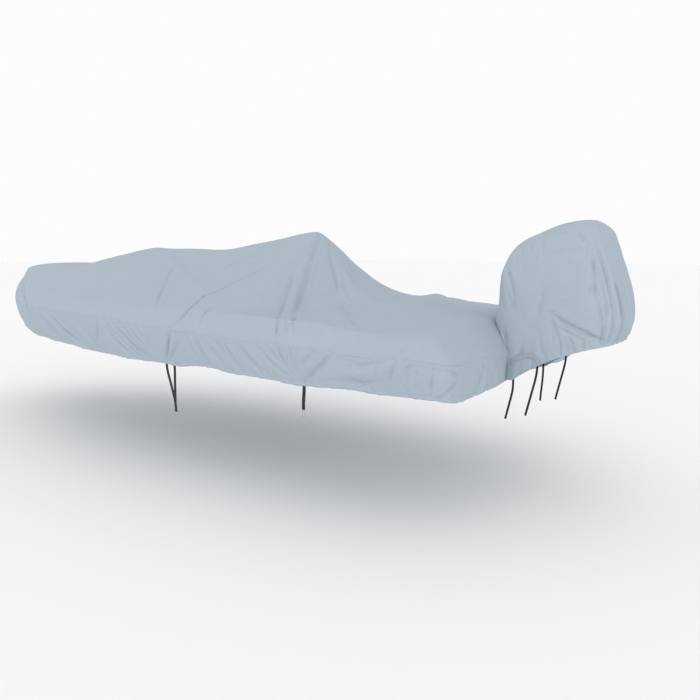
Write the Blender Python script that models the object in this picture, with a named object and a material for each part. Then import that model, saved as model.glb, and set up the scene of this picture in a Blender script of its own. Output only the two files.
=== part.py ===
# Fitted boat cover with its own hood at the stern, in the shape it takes in
# use: deck panel, two side panels, hood, and the webbing ties.
# Metres, +X to the bow, +Y to port, +Z up.  The origin is on the underside of
# the deck panel at its highest point, where the cover is held up.
import bpy
import bmesh
import numpy as np

# ------------------------------------------------------------ named sizes
CLOTH = 0.0024          # thickness of the coated cloth with its hem allowance
SEAM_GAP = 0.0003       # air between two panels at a seam
SUPPORT_X = 1.71        # highest point, forward of the stern end
SUPPORT_Z = 1.7125      # its height over the ground
WEB_T = 0.0024          # webbing thickness
WEB_W = 0.025           # webbing width
TOP_COLS = 8            # deck columns from the centreline to the edge
BAND_ROWS = 2           # strips from the deck edge to the rail seam
SKIRT_ROWS = 3          # strips from the rail seam to the hem

# Cover, one row per station from the bow to the stern end.
#  s      distance forward of the stern end at the rail seam
#  beam   half breadth at the rail seam
#  rail   height of the rail seam over the ground
#  edge   height of the edge where the top turns down
#  lap    how far the upper edge sits inside the rail seam
#  mid    height of the cloth on the centreline
#  full   1 = straight from the centre to the edge, 2 = round crown,
#         under 1 = hollow, where the cloth falls away from its peak
#  hem    height of the hem
#  tuck   how far the hem sits inside the rail seam
COVER_COLUMNS = ("s", "beam", "rail", "edge", "lap", "mid", "full", "hem", "tuck")
COVER = (
    (5.82, 0.085, 1.050, 1.300, 0.105, 1.372, 2.0, 0.870, 0.050),
    (5.77, 0.165, 1.052, 1.298, 0.108, 1.390, 2.0, 0.868, 0.048),
    (5.66, 0.240, 1.055, 1.294, 0.110, 1.406, 2.0, 0.866, 0.045),
    (5.50, 0.325, 1.060, 1.288, 0.110, 1.421, 2.0, 0.863, 0.042),
    (5.27, 0.430, 1.066, 1.278, 0.108, 1.438, 2.0, 0.861, 0.040),
    (5.00, 0.572, 1.074, 1.264, 0.102, 1.448, 1.9, 0.860, 0.040),
    (4.70, 0.733, 1.083, 1.250, 0.094, 1.458, 1.9, 0.860, 0.042),
    (4.40, 0.872, 1.091, 1.238, 0.084, 1.470, 1.8, 0.856, 0.044),
    (4.10, 0.978, 1.098, 1.230, 0.076, 1.522, 1.7, 0.850, 0.046),
    (3.80, 1.055, 1.104, 1.223, 0.070, 1.574, 1.6, 0.844, 0.048),
    (3.50, 1.105, 1.105, 1.216, 0.070, 1.586, 1.5, 0.834, 0.048),
    (3.20, 1.132, 1.103, 1.211, 0.070, 1.581, 1.5, 0.824, 0.048),
    (2.90, 1.148, 1.097, 1.207, 0.070, 1.579, 1.4, 0.814, 0.048),
    (2.60, 1.158, 1.082, 1.203, 0.070, 1.590, 1.3, 0.804, 0.048),
    (2.30, 1.163, 1.066, 1.200, 0.070, 1.640, 1.15, 0.799, 0.048),
    (2.05, 1.165, 1.060, 1.197, 0.070, 1.678, 1.05, 0.800, 0.048),
    (1.85, 1.165, 1.054, 1.195, 0.070, 1.706, 1.0, 0.822, 0.048),
    (1.71, 1.165, 1.050, 1.194, 0.070, 1.718, 0.93, 0.820, 0.048),
    (1.58, 1.164, 1.047, 1.193, 0.070, 1.618, 0.84, 0.810, 0.048),
    (1.42, 1.163, 1.044, 1.192, 0.070, 1.474, 0.64, 0.803, 0.048),
    (1.24, 1.160, 1.040, 1.189, 0.070, 1.345, 0.58, 0.794, 0.048),
    (1.06, 1.155, 1.033, 1.184, 0.070, 1.262, 0.80, 0.784, 0.048),
    (0.88, 1.149, 1.026, 1.170, 0.070, 1.220, 1.2, 0.786, 0.048),
    (0.70, 1.141, 1.021, 1.150, 0.070, 1.202, 2.0, 0.797, 0.048),
    (0.52, 1.131, 1.018, 1.140, 0.070, 1.194, 2.0, 0.801, 0.046),
    (0.35, 1.119, 1.013, 1.146, 0.076, 1.190, 2.2, 0.799, 0.040),
    (0.21, 1.106, 1.003, 1.140, 0.092, 1.184, 2.4, 0.797, 0.032),
    (0.09, 1.088, 0.992, 1.132, 0.112, 1.176, 2.4, 0.793, 0.026),
    (0.02, 1.055, 0.983, 1.124, 0.130, 1.170, 2.4, 0.788, 0.022),
    (0.00, 0.990, 0.976, 1.120, 0.140, 1.166, 2.4, 0.784, 0.020),
)

# Hood, the same columns: its 'rail' is the widest level of the bag, and its
# hem rises from the stern end of the cover towards the back.
HOOD_COLUMNS = COVER_COLUMNS
HOOD = (
    (0.112, 0.150, 1.330, 1.520, 0.044, 1.552, 2.4, 1.200, 0.000),
    (0.102, 0.212, 1.325, 1.545, 0.048, 1.600, 2.4, 1.200, 0.000),
    (0.076, 0.252, 1.318, 1.570, 0.052, 1.636, 2.4, 1.190, 0.000),
    (0.046, 0.269, 1.310, 1.586, 0.054, 1.660, 2.4, 1.168, 0.000),
    (0.020, 0.277, 1.302, 1.598, 0.055, 1.676, 2.4, 1.110, 0.000),
    (-0.006, 0.281, 1.296, 1.606, 0.056, 1.690, 2.4, 1.010, 0.000),
    (-0.018, 0.283, 1.290, 1.612, 0.057, 1.696, 2.4, 0.792, 0.000),
    (-0.090, 0.290, 1.280, 1.636, 0.062, 1.716, 2.4, 0.848, 0.006),
    (-0.190, 0.295, 1.270, 1.668, 0.070, 1.749, 2.4, 0.911, 0.012),
    (-0.290, 0.297, 1.262, 1.690, 0.076, 1.773, 2.4, 0.960, 0.020),
    (-0.390, 0.295, 1.256, 1.696, 0.080, 1.782, 2.4, 0.998, 0.026),
    (-0.480, 0.282, 1.250, 1.672, 0.086, 1.752, 2.4, 1.026, 0.030),
    (-0.555, 0.250, 1.245, 1.630, 0.094, 1.698, 2.4, 1.042, 0.034),
    (-0.605, 0.195, 1.240, 1.585, 0.100, 1.634, 2.4, 1.052, 0.036),
    (-0.628, 0.120, 1.236, 1.550, 0.100, 1.580, 2.4, 1.056, 0.036),
)

# Main folds of the cover.  s and w are the two ends, w being measured over
# the cloth from the centreline (port positive, starboard negative); rise is
# the height of the ridge, negative for a trough.
FOLD_COLUMNS = ("name", "s0", "w0", "s1", "w1", "width", "rise", "end0", "end1")
FOLDS = (
    ("corner ridge, fore", 3.55, 0.06, 2.75, 0.47, 0.17, 0.020, 0.3, 1.0),
    ("corner ridge, aft", 2.75, 0.47, 2.10, 0.84, 0.13, 0.028, 1.0, 0.8),
    ("fore crease, high", 2.77, 0.50, 2.45, 0.89, 0.11, -0.013, 0.4, 1.0),
    ("fore crease, low", 2.45, 0.89, 2.30, 1.18, 0.11, -0.014, 1.0, 0.4),
    ("corner to rail, high", 2.07, 0.88, 1.98, 1.10, 0.10, -0.022, 0.8, 1.0),
    ("corner to rail, low", 1.98, 1.10, 2.05, 1.22, 0.10, -0.018, 1.0, 0.4),
    ("corner to peak, low", 2.06, 0.87, 1.97, 0.60, 0.11, -0.028, 0.7, 1.0),
    ("corner to peak, high", 1.97, 0.60, 1.85, 0.26, 0.10, -0.028, 1.0, 0.3),
    ("side of the tent, high", 1.60, 0.42, 1.48, 0.62, 0.09, -0.016, 0.3, 1.0),
    ("side of the tent, low", 1.48, 0.62, 1.17, 1.12, 0.09, -0.018, 1.0, 0.5),
    ("broad fold, high", 1.56, 0.20, 1.34, 0.56, 0.09, -0.026, 0.4, 1.0),
    ("broad fold, low", 1.34, 0.56, 1.02, 1.14, 0.10, -0.028, 1.0, 0.6),
    ("broad fold lip, high", 1.50, 0.16, 1.18, 0.52, 0.09, 0.020, 0.3, 1.0),
    ("broad fold lip, low", 1.18, 0.52, 0.88, 1.06, 0.10, 0.018, 1.0, 0.4),
    ("behind the peak", 1.50, 0.06, 1.18, 0.44, 0.09, -0.012, 0.3, 0.5),
    ("aft deck light ridge", 1.12, 0.22, 0.62, 0.20, 0.12, 0.010, 0.4, 0.4),
    ("dip behind the tent", 1.06, 0.56, 0.70, 0.92, 0.11, -0.022, 0.5, 0.8),
    ("fore shoulder", 3.55, 0.62, 2.90, 0.98, 0.16, -0.010, 0.4, 0.5),
    ("bow flat", 5.20, 0.14, 4.20, 0.52, 0.18, -0.008, 0.4, 0.4),
    ("starboard corner ridge", 3.30, -0.22, 2.20, -0.82, 0.16, 0.022, 0.3, 0.9),
    ("starboard fore crease", 2.70, -0.60, 2.36, -1.16, 0.12, -0.014, 0.4, 0.5),
    ("starboard corner to peak", 2.12, -0.84, 1.90, -0.30, 0.12, -0.024, 0.7, 0.3),
    ("starboard broad fold", 1.52, -0.30, 1.10, -1.10, 0.11, -0.026, 0.3, 0.6),
    ("starboard fold lip", 1.30, -0.30, 0.95, -1.02, 0.10, 0.008, 0.3, 0.4),
    ("starboard dip", 1.00, -0.60, 0.64, -0.96, 0.11, -0.020, 0.5, 0.8),
)

# Pleats of the side panels: top and foot are stations on the rail seam and
# on the hem, deep is how far the pleat stands out (minus, in) at the hem.
PLEAT_COLUMNS = ("side", "top", "foot", "width", "deep")
PLEATS = (
    ("port", 5.20, 5.00, 0.12, -0.010),
    ("port", 4.26, 4.10, 0.11, -0.016),
    ("port", 3.90, 3.32, 0.12, 0.014),
    ("port", 3.68, 3.10, 0.11, -0.012),
    ("port", 2.94, 3.00, 0.10, 0.014),
    ("port", 2.73, 2.34, 0.10, -0.018),
    ("port", 2.50, 2.30, 0.09, 0.016),
    ("port", 2.08, 2.20, 0.09, -0.022),
    ("port", 1.83, 1.72, 0.10, 0.014),
    ("port", 1.56, 1.40, 0.10, -0.014),
    ("port", 1.30, 1.14, 0.10, 0.012),
    ("port", 0.74, 0.97, 0.10, -0.024),
    ("port", 0.62, 0.58, 0.12, 0.016),
    ("port", 0.31, 0.42, 0.09, -0.018),
    ("port", 0.12, 0.14, 0.08, 0.012),
    ("starboard", 4.80, 4.50, 0.12, -0.014),
    ("starboard", 4.10, 3.85, 0.11, 0.014),
    ("starboard", 3.35, 3.20, 0.10, -0.016),
    ("starboard", 2.70, 2.52, 0.10, 0.014),
    ("starboard", 2.20, 2.18, 0.09, -0.020),
    ("starboard", 1.62, 1.45, 0.11, 0.014),
    ("starboard", 1.05, 1.02, 0.10, -0.020),
    ("starboard", 0.50, 0.48, 0.12, 0.014),
    ("starboard", 0.22, 0.26, 0.08, -0.012),
)

# Folds of the hood: around is the distance over the cloth from the front
# centre (port positive), high and low are heights over the ground.
HOOD_FOLD_COLUMNS = ("around", "high", "around_low", "low", "width", "rise")
HOOD_FOLDS = (
    (0.26, 1.50, 0.32, 1.22, 0.05, -0.008),
    (0.47, 1.40, 0.46, 1.20, 0.05, -0.007),
    (0.55, 1.25, 0.80, 1.09, 0.06, -0.012),
    (0.78, 1.56, 0.79, 1.30, 0.045, -0.010),
    (0.84, 1.60, 0.92, 1.10, 0.05, 0.014),
    (0.98, 1.56, 1.04, 1.12, 0.05, -0.013),
    (-0.30, 1.52, -0.36, 1.22, 0.06, -0.008),
    (-0.58, 1.36, -0.74, 1.12, 0.06, -0.010),
    (-0.86, 1.58, -0.92, 1.12, 0.05, 0.012),
)


def table(rows, columns):
    """One array for each named column."""
    return {name: np.array([row[i] for row in rows]) for i, name in enumerate(columns)}


def smooth(values, at):
    """Values of a curve through equally spaced knots, read at positions at."""
    v = np.asarray(values, float)
    i = np.clip(np.floor(at).astype(int), 0, len(v) - 2)
    f = at - i
    m = np.gradient(v)
    # slopes are held back where the table turns, so no station overshoots
    d = np.diff(v)
    for k in range(1, len(v) - 1):
        if d[k - 1] * d[k] <= 0:
            m[k] = 0.0
        else:
            m[k] = np.sign(m[k]) * min(abs(m[k]), 2.5 * min(abs(d[k - 1]), abs(d[k])))
    h00 = 2 * f**3 - 3 * f**2 + 1
    h10 = f**3 - 2 * f**2 + f
    h01 = -2 * f**3 + 3 * f**2
    h11 = f**3 - f**2
    return h00 * v[i] + h10 * m[i] + h01 * v[i + 1] + h11 * m[i + 1]


def stations(rows, columns, per_row):
    """The table read at finer stations, with the plan normal of each."""
    t = table(rows, columns)
    at = np.unique(np.concatenate([np.linspace(i, i + 1, n + 1) for i, n in enumerate(per_row)]))
    out = {name: smooth(t[name], at) for name in columns}
    ds, db = np.gradient(out["s"]), np.gradient(out["beam"])
    # the curve runs aft with port to its left: outward is (-db, ds) turned out
    nx, ny = db, -ds
    size = np.hypot(nx, ny)
    out["nx"], out["ny"] = nx / size, ny / size
    return out


def segment(s, w, s0, w0, s1, w1):
    """Distance to a segment and how far along it each point lies."""
    ds, dw = s1 - s0, w1 - w0
    a = np.clip(((s - s0) * ds + (w - w0) * dw) / (ds * ds + dw * dw), 0, 1)
    return np.hypot(s - s0 - a * ds, w - w0 - a * dw), a


def fold_rise(s, w):
    """Height that the deck folds add at points given over the cloth."""
    out = np.zeros_like(s)
    for name, s0, w0, s1, w1, width, rise, end0, end1 in FOLDS:
        d, a = segment(s, w, s0, w0, s1, w1)
        strength = (end0 + (1 - end0) * np.minimum(1, a / 0.35)) * (end1 + (1 - end1) * np.minimum(1, (1 - a) / 0.35))
        out += rise * strength * np.exp(-((d / width) ** 2))
    return out


def pleat_out(s, down, side):
    """How far the side panel stands out; down is 0 at the rail, 1 at the hem."""
    out = np.zeros_like(s)
    for which, top, foot, width, deep in PLEATS:
        if which != side:
            continue
        at = top + (foot - top) * down
        out += deep * down ** 0.8 * np.exp(-(((s - at) / width) ** 2))
    return out


def crown(f, full):
    """Share of the centreline's rise at the fraction f of the half breadth."""
    soft = (np.hypot(f, 0.05) - 0.05) / (np.hypot(1, 0.05) - 0.05)
    return 1 - soft ** full if full >= 1 else (1 - soft) ** (1 / full)


class Cloth:
    """A bag of cloth: a crowned top and strips that hang around it."""

    def __init__(self):
        self.points = []
        self.faces = {}

    def add(self, p):
        self.points.append(np.asarray(p, float))
        return len(self.points) - 1

    def face(self, panel, *loop):
        self.faces.setdefault(panel, []).append(loop)


def build_bag(rows, columns, per_row, cols, levels, names, shape_top, shape_side):
    """Top grid and closed strips; names is (top panel, port strip, starboard)."""
    st = stations(rows, columns, per_row)
    n = len(st["s"])
    cloth = Cloth()
    frac = np.linspace(-1, 1, 2 * cols + 1)
    frac = np.sign(frac) * np.abs(frac) ** 0.92
    grid = np.zeros((n, len(frac)), int)
    edge_s = st["s"] - st["lap"] * st["nx"]
    edge_b = st["beam"] - st["lap"] * st["ny"]
    for i in range(n):
        for j, f in enumerate(frac):
            t = f * edge_b[i]
            z = st["edge"][i] + (st["mid"][i] - st["edge"][i]) * crown(abs(f), st["full"][i])
            grid[i, j] = cloth.add(shape_top(edge_s[i], t, z))
    m = len(frac) - 1
    for i in range(n - 1):
        for j in range(m):
            cloth.face(names[0], grid[i, j], grid[i, j + 1], grid[i + 1, j + 1], grid[i + 1, j])
    # the way round: front centre, port side, back, starboard side
    ring = []
    c = cols
    for j in range(c, m):
        ring.append((0, j, frac[j]))
    for i in range(n):
        ring.append((i, m, 1.0))
    for j in range(m - 1, 0, -1):
        ring.append((n - 1, j, frac[j]))
    for i in range(n - 1, -1, -1):
        ring.append((i, 0, -1.0))
    for j in range(1, c):
        ring.append((0, j, frac[j]))
    count = len(ring)
    loops = [[grid[i, j] for i, j, f in ring]]
    for kind, row, of in levels:
        loop = []
        for k, (i, j, f) in enumerate(ring):
            side = 1.0 if f > 0 else -1.0
            if abs(f) == 1.0:
                nx, ny, base = st["nx"][i], side * st["ny"][i], side * st["beam"][i]
            else:
                nx, ny, base = (1.0 if i == 0 else -1.0), 0.0, f * st["beam"][i]
            if abs(f) == 1.0 and i in (0, n - 1):
                # the corner of a square end turns half way
                nx, ny = (1.0 if i == 0 else -1.0) * 0.7071, side * 0.7071
            share = row / of
            if kind == "band":
                lap = st["lap"][i] * (1 - share) ** 1.5
                z = st["edge"][i] + (st["rail"][i] - st["edge"][i]) * share
                p = (st["s"][i] - lap * nx, base - lap * ny, z)
                down = 0.0
            else:
                lap = st["tuck"][i] * share
                z = st["rail"][i] + (st["hem"][i] - st["rail"][i]) * share
                p = (st["s"][i] - lap * nx, base - lap * ny, z)
                down = share
            loop.append(cloth.add(shape_side(p, (nx, ny), kind, share, down, k, count, f)))
        loops.append(loop)
    half = [k for k, (i, j, f) in enumerate(ring) if i == n - 1 and j == c][0]
    for r in range(len(loops) - 1):
        kind = levels[r][0]
        for k in range(count):
            k2 = (k + 1) % count
            panel = names[0] if kind == "band" else (names[1] if k < half else names[2])
            cloth.face(panel, loops[r][k], loops[r + 1][k], loops[r + 1][k2], loops[r][k2])
    return cloth, loops, half


def normals(cloth):
    pts = np.array(cloth.points)
    out = np.zeros_like(pts)
    for panel in cloth.faces.values():
        for loop in panel:
            a, b, c, d = (pts[q] for q in loop)
            n = np.cross(c - a, d - b)
            for q in loop:
                out[q] += n
    return out / np.linalg.norm(out, axis=1)[:, None]


def shell_object(name, cloth, panel, nrm, colour, pull):
    """One panel as a closed shell; pull moves rim points off the seam."""
    pts = np.array(cloth.points)
    faces = cloth.faces[panel]
    used = sorted({q for loop in faces for q in loop})
    place = {q: i for i, q in enumerate(used)}
    outer = np.array([pts[q] + pull(panel, q) for q in used])
    inner = np.array([outer[place[q]] - CLOTH * nrm[q] for q in used])
    count = len(used)
    edges = {}
    for loop in faces:
        for a, b in zip(loop, loop[1:] + loop[:1]):
            edges[(a, b)] = edges.get((a, b), 0) + 1
    quads = [tuple(place[q] for q in loop) for loop in faces]
    quads += [tuple(place[q] + count for q in reversed(loop)) for loop in faces]
    for (a, b) in edges:
        if (b, a) not in edges:
            quads.append((place[b], place[a], place[a] + count, place[b] + count))
    return mesh_object(name, np.vstack([outer, inner]), quads, colour)


def mesh_object(name, points, faces, colour):
    mesh = bpy.data.meshes.new(name)
    mesh.from_pydata([tuple(p) for p in points], [], faces)
    mesh.validate()
    bm = bmesh.new()
    bm.from_mesh(mesh)
    bmesh.ops.triangulate(bm, faces=bm.faces[:], quad_method="SHORT_EDGE")
    bmesh.ops.recalc_face_normals(bm, faces=bm.faces[:])
    bm.to_mesh(mesh)
    bm.free()
    mesh.shade_smooth()
    mesh.set_sharp_from_angle(angle=0.9)
    obj = bpy.data.objects.new(name, mesh)
    bpy.context.scene.collection.objects.link(obj)
    obj.data.materials.append(material(colour))
    return obj


def material(kind):
    name, rgb, rough, metal = {
        "cloth": ("cover_cloth", (0.402, 0.479, 0.540), 0.78, 0.0),
        "webbing": ("tie_webbing", (0.030, 0.031, 0.034), 0.70, 0.0),
        "steel": ("hook_steel", (0.62, 0.62, 0.63), 0.35, 1.0),
    }[kind]
    mat = bpy.data.materials.get(name)
    if mat is None:
        mat = bpy.data.materials.new(name)
        mat.use_nodes = True
        shader = mat.node_tree.nodes["Principled BSDF"]
        shader.inputs["Base Color"].default_value = (*rgb, 1.0)
        shader.inputs["Roughness"].default_value = rough
        shader.inputs["Metallic"].default_value = metal
    return mat


def to_frame(p):
    """From the distance off the stern end and height over the ground."""
    return np.array([p[0] - SUPPORT_X, p[1], p[2] - SUPPORT_Z])


# ------------------------------------------------------------------ cover
def cover_top(s, t, z):
    return to_frame((s, t, z + float(fold_rise(np.array([s]), np.array([t]))[0])))


def cover_side(p, normal, kind, share, down, k, count, f):
    s, t, z = p
    side = 1.0 if t >= 0 else -1.0
    if kind == "band":
        over = abs(t) + 0.10 * share
        out = float(fold_rise(np.array([s]), np.array([side * over]))[0]) * 0.8
        if abs(f) != 1.0:
            out = 0.0
    else:
        name = "port" if t >= 0 else "starboard"
        out = float(pleat_out(np.array([s]), down, name)[0]) if abs(f) == 1.0 else 0.0
    return to_frame((s + out * normal[0], t + out * normal[1], z))


def cover():
    levels = [("band", r, BAND_ROWS) for r in range(1, BAND_ROWS + 1)]
    levels += [("skirt", r, SKIRT_ROWS) for r in range(1, SKIRT_ROWS + 1)]
    per_row = [1, 1, 1, 1, 1, 2, 2, 2, 2, 2, 2, 2, 2, 3, 3, 2, 2, 2, 2, 2, 2, 2, 2, 2, 2, 1, 1, 1, 1]
    names = ("deck_panel", "side_panel_port", "side_panel_starboard")
    cloth, loops, half = build_bag(COVER, COVER_COLUMNS, per_row, TOP_COLS, levels, names, cover_top, cover_side)
    nrm = normals(cloth)
    pts = np.array(cloth.points)
    seam = {q: k for k, q in enumerate(loops[BAND_ROWS])}
    above, below = loops[BAND_ROWS - 1], loops[BAND_ROWS + 1]
    split = {}
    for loop in loops[BAND_ROWS:]:
        split[loop[0]] = "bow"
        split[loop[half]] = "stern"

    def pull(panel, q):
        move = np.zeros(3)
        if q in seam:
            k = seam[q]
            # both panels back off the seam along the same line across it
            line = pts[above[k]] - pts[below[k]]
            line /= np.linalg.norm(line)
            move += line * (SEAM_GAP / 2 if panel == names[0] else -SEAM_GAP / 2)
        if panel != names[0] and q in split:
            move += np.array([0, (SEAM_GAP / 2) * (1 if panel == names[1] else -1), 0])
        return move

    for name in names:
        shell_object(name, cloth, name, nrm, "cloth", pull)


# ------------------------------------------------------------------- hood
def hood_top(s, t, z):
    return to_frame((s, t, z))


def hood_side(p, normal, kind, share, down, k, count, f):
    s, t, z = p
    out = 0.0
    around = hood_around(s, t)
    for a0, high, a1, low, width, rise in HOOD_FOLDS:
        d, a = segment(np.array([around]), np.array([z]), a0, high, a1, low)
        out += float(rise * np.exp(-((d[0] / width) ** 2)))
    return to_frame((s + out * normal[0], t + out * normal[1], z))


def hood_around(s, t):
    """Distance round the hood from its front centre, port positive."""
    side = 1.0 if t >= 0 else -1.0
    if s > 0.02:
        return t
    if s < -0.56:
        return side * (0.28 + 0.58 + (0.28 - abs(t)))
    return side * (0.28 + (0.02 - s))


def hood():
    levels = [("band", r, 3) for r in range(1, 4)]
    levels += [("skirt", r, 4) for r in range(1, 5)]
    per_row = [1] * (len(HOOD) - 1)
    names = ("hood", "hood", "hood")
    cloth, loops, half = build_bag(HOOD, HOOD_COLUMNS, per_row, 4, levels, names, hood_top, hood_side)
    nrm = normals(cloth)
    shell_object("motor_hood", cloth, "hood", nrm, "cloth", lambda panel, q: np.zeros(3))


# ------------------------------------------------------------------- ties
def strap(name, path, face, width, colour="webbing", thick=WEB_T):
    """A flat webbing along path; face is the way its flat side looks."""
    pts = [to_frame(p) for p in path]
    face = np.array(face, float)
    face /= np.linalg.norm(face)
    points, faces = [], []
    for i, p in enumerate(pts):
        a, b = pts[max(0, i - 1)], pts[min(len(pts) - 1, i + 1)]
        run = (b - a) / np.linalg.norm(b - a)
        across = np.cross(face, run)
        across /= np.linalg.norm(across)
        out = np.cross(run, across)
        for u, v in ((-1, -1), (1, -1), (1, 1), (-1, 1)):
            points.append(p + across * u * width / 2 + out * v * thick / 2)
    n = len(pts)
    for i in range(n - 1):
        for k in range(4):
            k2 = (k + 1) % 4
            faces.append((4 * i + k, 4 * i + k2, 4 * i + 4 + k2, 4 * i + 4 + k))
    faces.append((0, 1, 2, 3))
    faces.append(tuple(4 * n - 4 + k for k in (3, 2, 1, 0)))
    return mesh_object(name, np.array(points), faces, colour)


# Webbing runs, on the port side; starboard mirrors them.  s and t as above,
# z over the ground, looks = the way the flat side faces (s, t, z).
TIE_COLUMNS = ("node", "kind", "s", "t", "z")
TIES = (
    ("tie_fore_{}_long", "webbing", 2.232, 1.076, 0.835),
    ("tie_fore_{}_long", "webbing", 2.230, 1.076, 0.760),
    ("tie_fore_{}_long", "webbing", 2.206, 1.060, 0.620),
    ("tie_fore_{}_long", "webbing", 2.192, 1.048, 0.520),
    ("tie_fore_{}_long", "webbing", 2.190, 1.044, 0.445),
    ("tie_fore_{}_short", "webbing", 2.150, 1.076, 0.835),
    ("tie_fore_{}_short", "webbing", 2.152, 1.075, 0.760),
    ("tie_fore_{}_short", "webbing", 2.170, 1.063, 0.620),
    ("tie_fore_{}_short", "webbing", 2.184, 1.053, 0.522),
    ("tie_mid_{}", "webbing", 0.995, 1.062, 0.820),
    ("tie_mid_{}", "webbing", 0.996, 1.062, 0.740),
    ("tie_mid_{}", "webbing", 0.998, 1.066, 0.680),
    ("tie_mid_{}", "webbing", 0.997, 1.068, 0.628),
    ("stern_loop_{}", "cloth", -0.027, 0.2925, 0.815),
    ("stern_loop_{}", "cloth", -0.030, 0.2940, 0.870),
    ("stern_loop_{}", "cloth", -0.042, 0.2960, 0.920),
    ("stern_loop_{}", "cloth", -0.068, 0.2985, 0.950),
    ("stern_loop_{}", "cloth", -0.110, 0.3020, 0.965),
    ("stern_loop_{}", "cloth", -0.150, 0.3040, 0.966),
    ("stern_loop_{}", "cloth", -0.178, 0.3050, 0.950),
    ("stern_loop_{}", "cloth", -0.189, 0.3055, 0.915),
    ("tie_stern_{}_fore", "webbing", -0.027, 0.268, 0.835),
    ("tie_stern_{}_fore", "webbing", -0.026, 0.270, 0.740),
    ("tie_stern_{}_fore", "webbing", -0.012, 0.290, 0.640),
    ("tie_stern_{}_fore", "webbing", 0.000, 0.310, 0.560),
    ("tie_stern_{}_aft", "webbing", -0.180, 0.272, 0.945),
    ("tie_stern_{}_aft", "webbing", -0.174, 0.272, 0.850),
    ("tie_stern_{}_aft", "webbing", -0.146, 0.274, 0.720),
    ("tie_stern_{}_aft", "webbing", -0.116, 0.278, 0.590),
)
HOOK_WIRE = 0.0022      # wire radius of the hook at the end of the mid tie
HOOK_REACH = 0.011      # radius of its two bends


def ties():
    for name in dict.fromkeys(row[0] for row in TIES):
        rows = [row for row in TIES if row[0] == name]
        for side, y in (("port", 1), ("starboard", -1)):
            path = [(row[2], y * row[3], row[4]) for row in rows]
            wide = 0.028 if "loop" in name else (0.014 if "stern" in name else WEB_W)
            strap(name.format(side), path, (0.0, y, 0.0), wide, rows[0][1])


def hook(name, y):
    """An S hook of bent wire: the eye goes through the tie, the jaw is open."""
    top = to_frame((0.997, y * 1.068, 0.628))
    r = HOOK_REACH
    points = []
    for i in range(9):
        a = np.pi * (0.10 + 0.90 * i / 8)
        points.append((r * np.cos(a), -0.0045 - r * 1.0 + r * np.sin(a)))
    for i in range(1, 9):
        a = np.pi * (1.00 + 0.95 * i / 8)
        points.append((2 * r * 0 + (r * 1.0) * np.cos(a), -0.0045 - r - 0.016 + r * np.sin(a)))
    curve = bpy.data.curves.new(name, "CURVE")
    curve.dimensions = "3D"
    curve.bevel_depth = HOOK_WIRE
    curve.bevel_resolution = 1
    curve.use_fill_caps = True
    spline = curve.splines.new("POLY")
    spline.points.add(len(points) - 1)
    for p, (u, w) in zip(spline.points, points):
        p.co = (u, 0.0, w - HOOK_WIRE, 1.0)
    obj = bpy.data.objects.new(name, curve)
    obj.location = tuple(top)
    bpy.context.scene.collection.objects.link(obj)
    obj.data.materials.append(material("steel"))


def main():
    for old in list(bpy.data.objects):
        bpy.data.objects.remove(old, do_unlink=True)
    cover()
    hood()
    ties()
    hook("hook_mid_port", 1)
    hook("hook_mid_starboard", -1)


main()
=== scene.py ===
# Looks of the fitted cover: fine cloth with its folds, seams, hem, stitching
# and webbing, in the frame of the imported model.  Metres, +X to the bow, +Y to
# port, +Z up.  Lengths in the tables are distances forward of the stern end
# (s), to port (t) and over the ground (z).
import math

import bmesh
import bpy
import numpy as np
from mathutils import Matrix, Vector, noise
from mathutils.bvhtree import BVHTree


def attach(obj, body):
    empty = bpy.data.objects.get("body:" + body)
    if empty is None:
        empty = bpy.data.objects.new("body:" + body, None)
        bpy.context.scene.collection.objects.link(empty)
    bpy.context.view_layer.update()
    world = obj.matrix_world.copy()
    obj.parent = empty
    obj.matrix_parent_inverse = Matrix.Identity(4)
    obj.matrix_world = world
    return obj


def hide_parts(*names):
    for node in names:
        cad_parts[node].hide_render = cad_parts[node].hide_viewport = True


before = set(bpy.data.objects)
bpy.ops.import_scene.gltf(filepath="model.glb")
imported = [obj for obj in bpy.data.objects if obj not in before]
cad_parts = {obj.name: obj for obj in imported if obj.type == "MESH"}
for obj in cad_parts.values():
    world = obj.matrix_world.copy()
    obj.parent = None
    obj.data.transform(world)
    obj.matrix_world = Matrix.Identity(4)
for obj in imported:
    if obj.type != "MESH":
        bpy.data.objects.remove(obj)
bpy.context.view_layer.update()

# ------------------------------------------------------------ named sizes
SUPPORT_X, SUPPORT_Z = 1.71, 1.7125     # the frame's origin in s and z
CLOTH = 0.0017                          # coated polyester with its coating
LAP = 0.009                             # how far the deck laps the side panels
STEP = 0.027                            # coarse cell of the deck before refining
WEB_T = 0.0017

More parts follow.
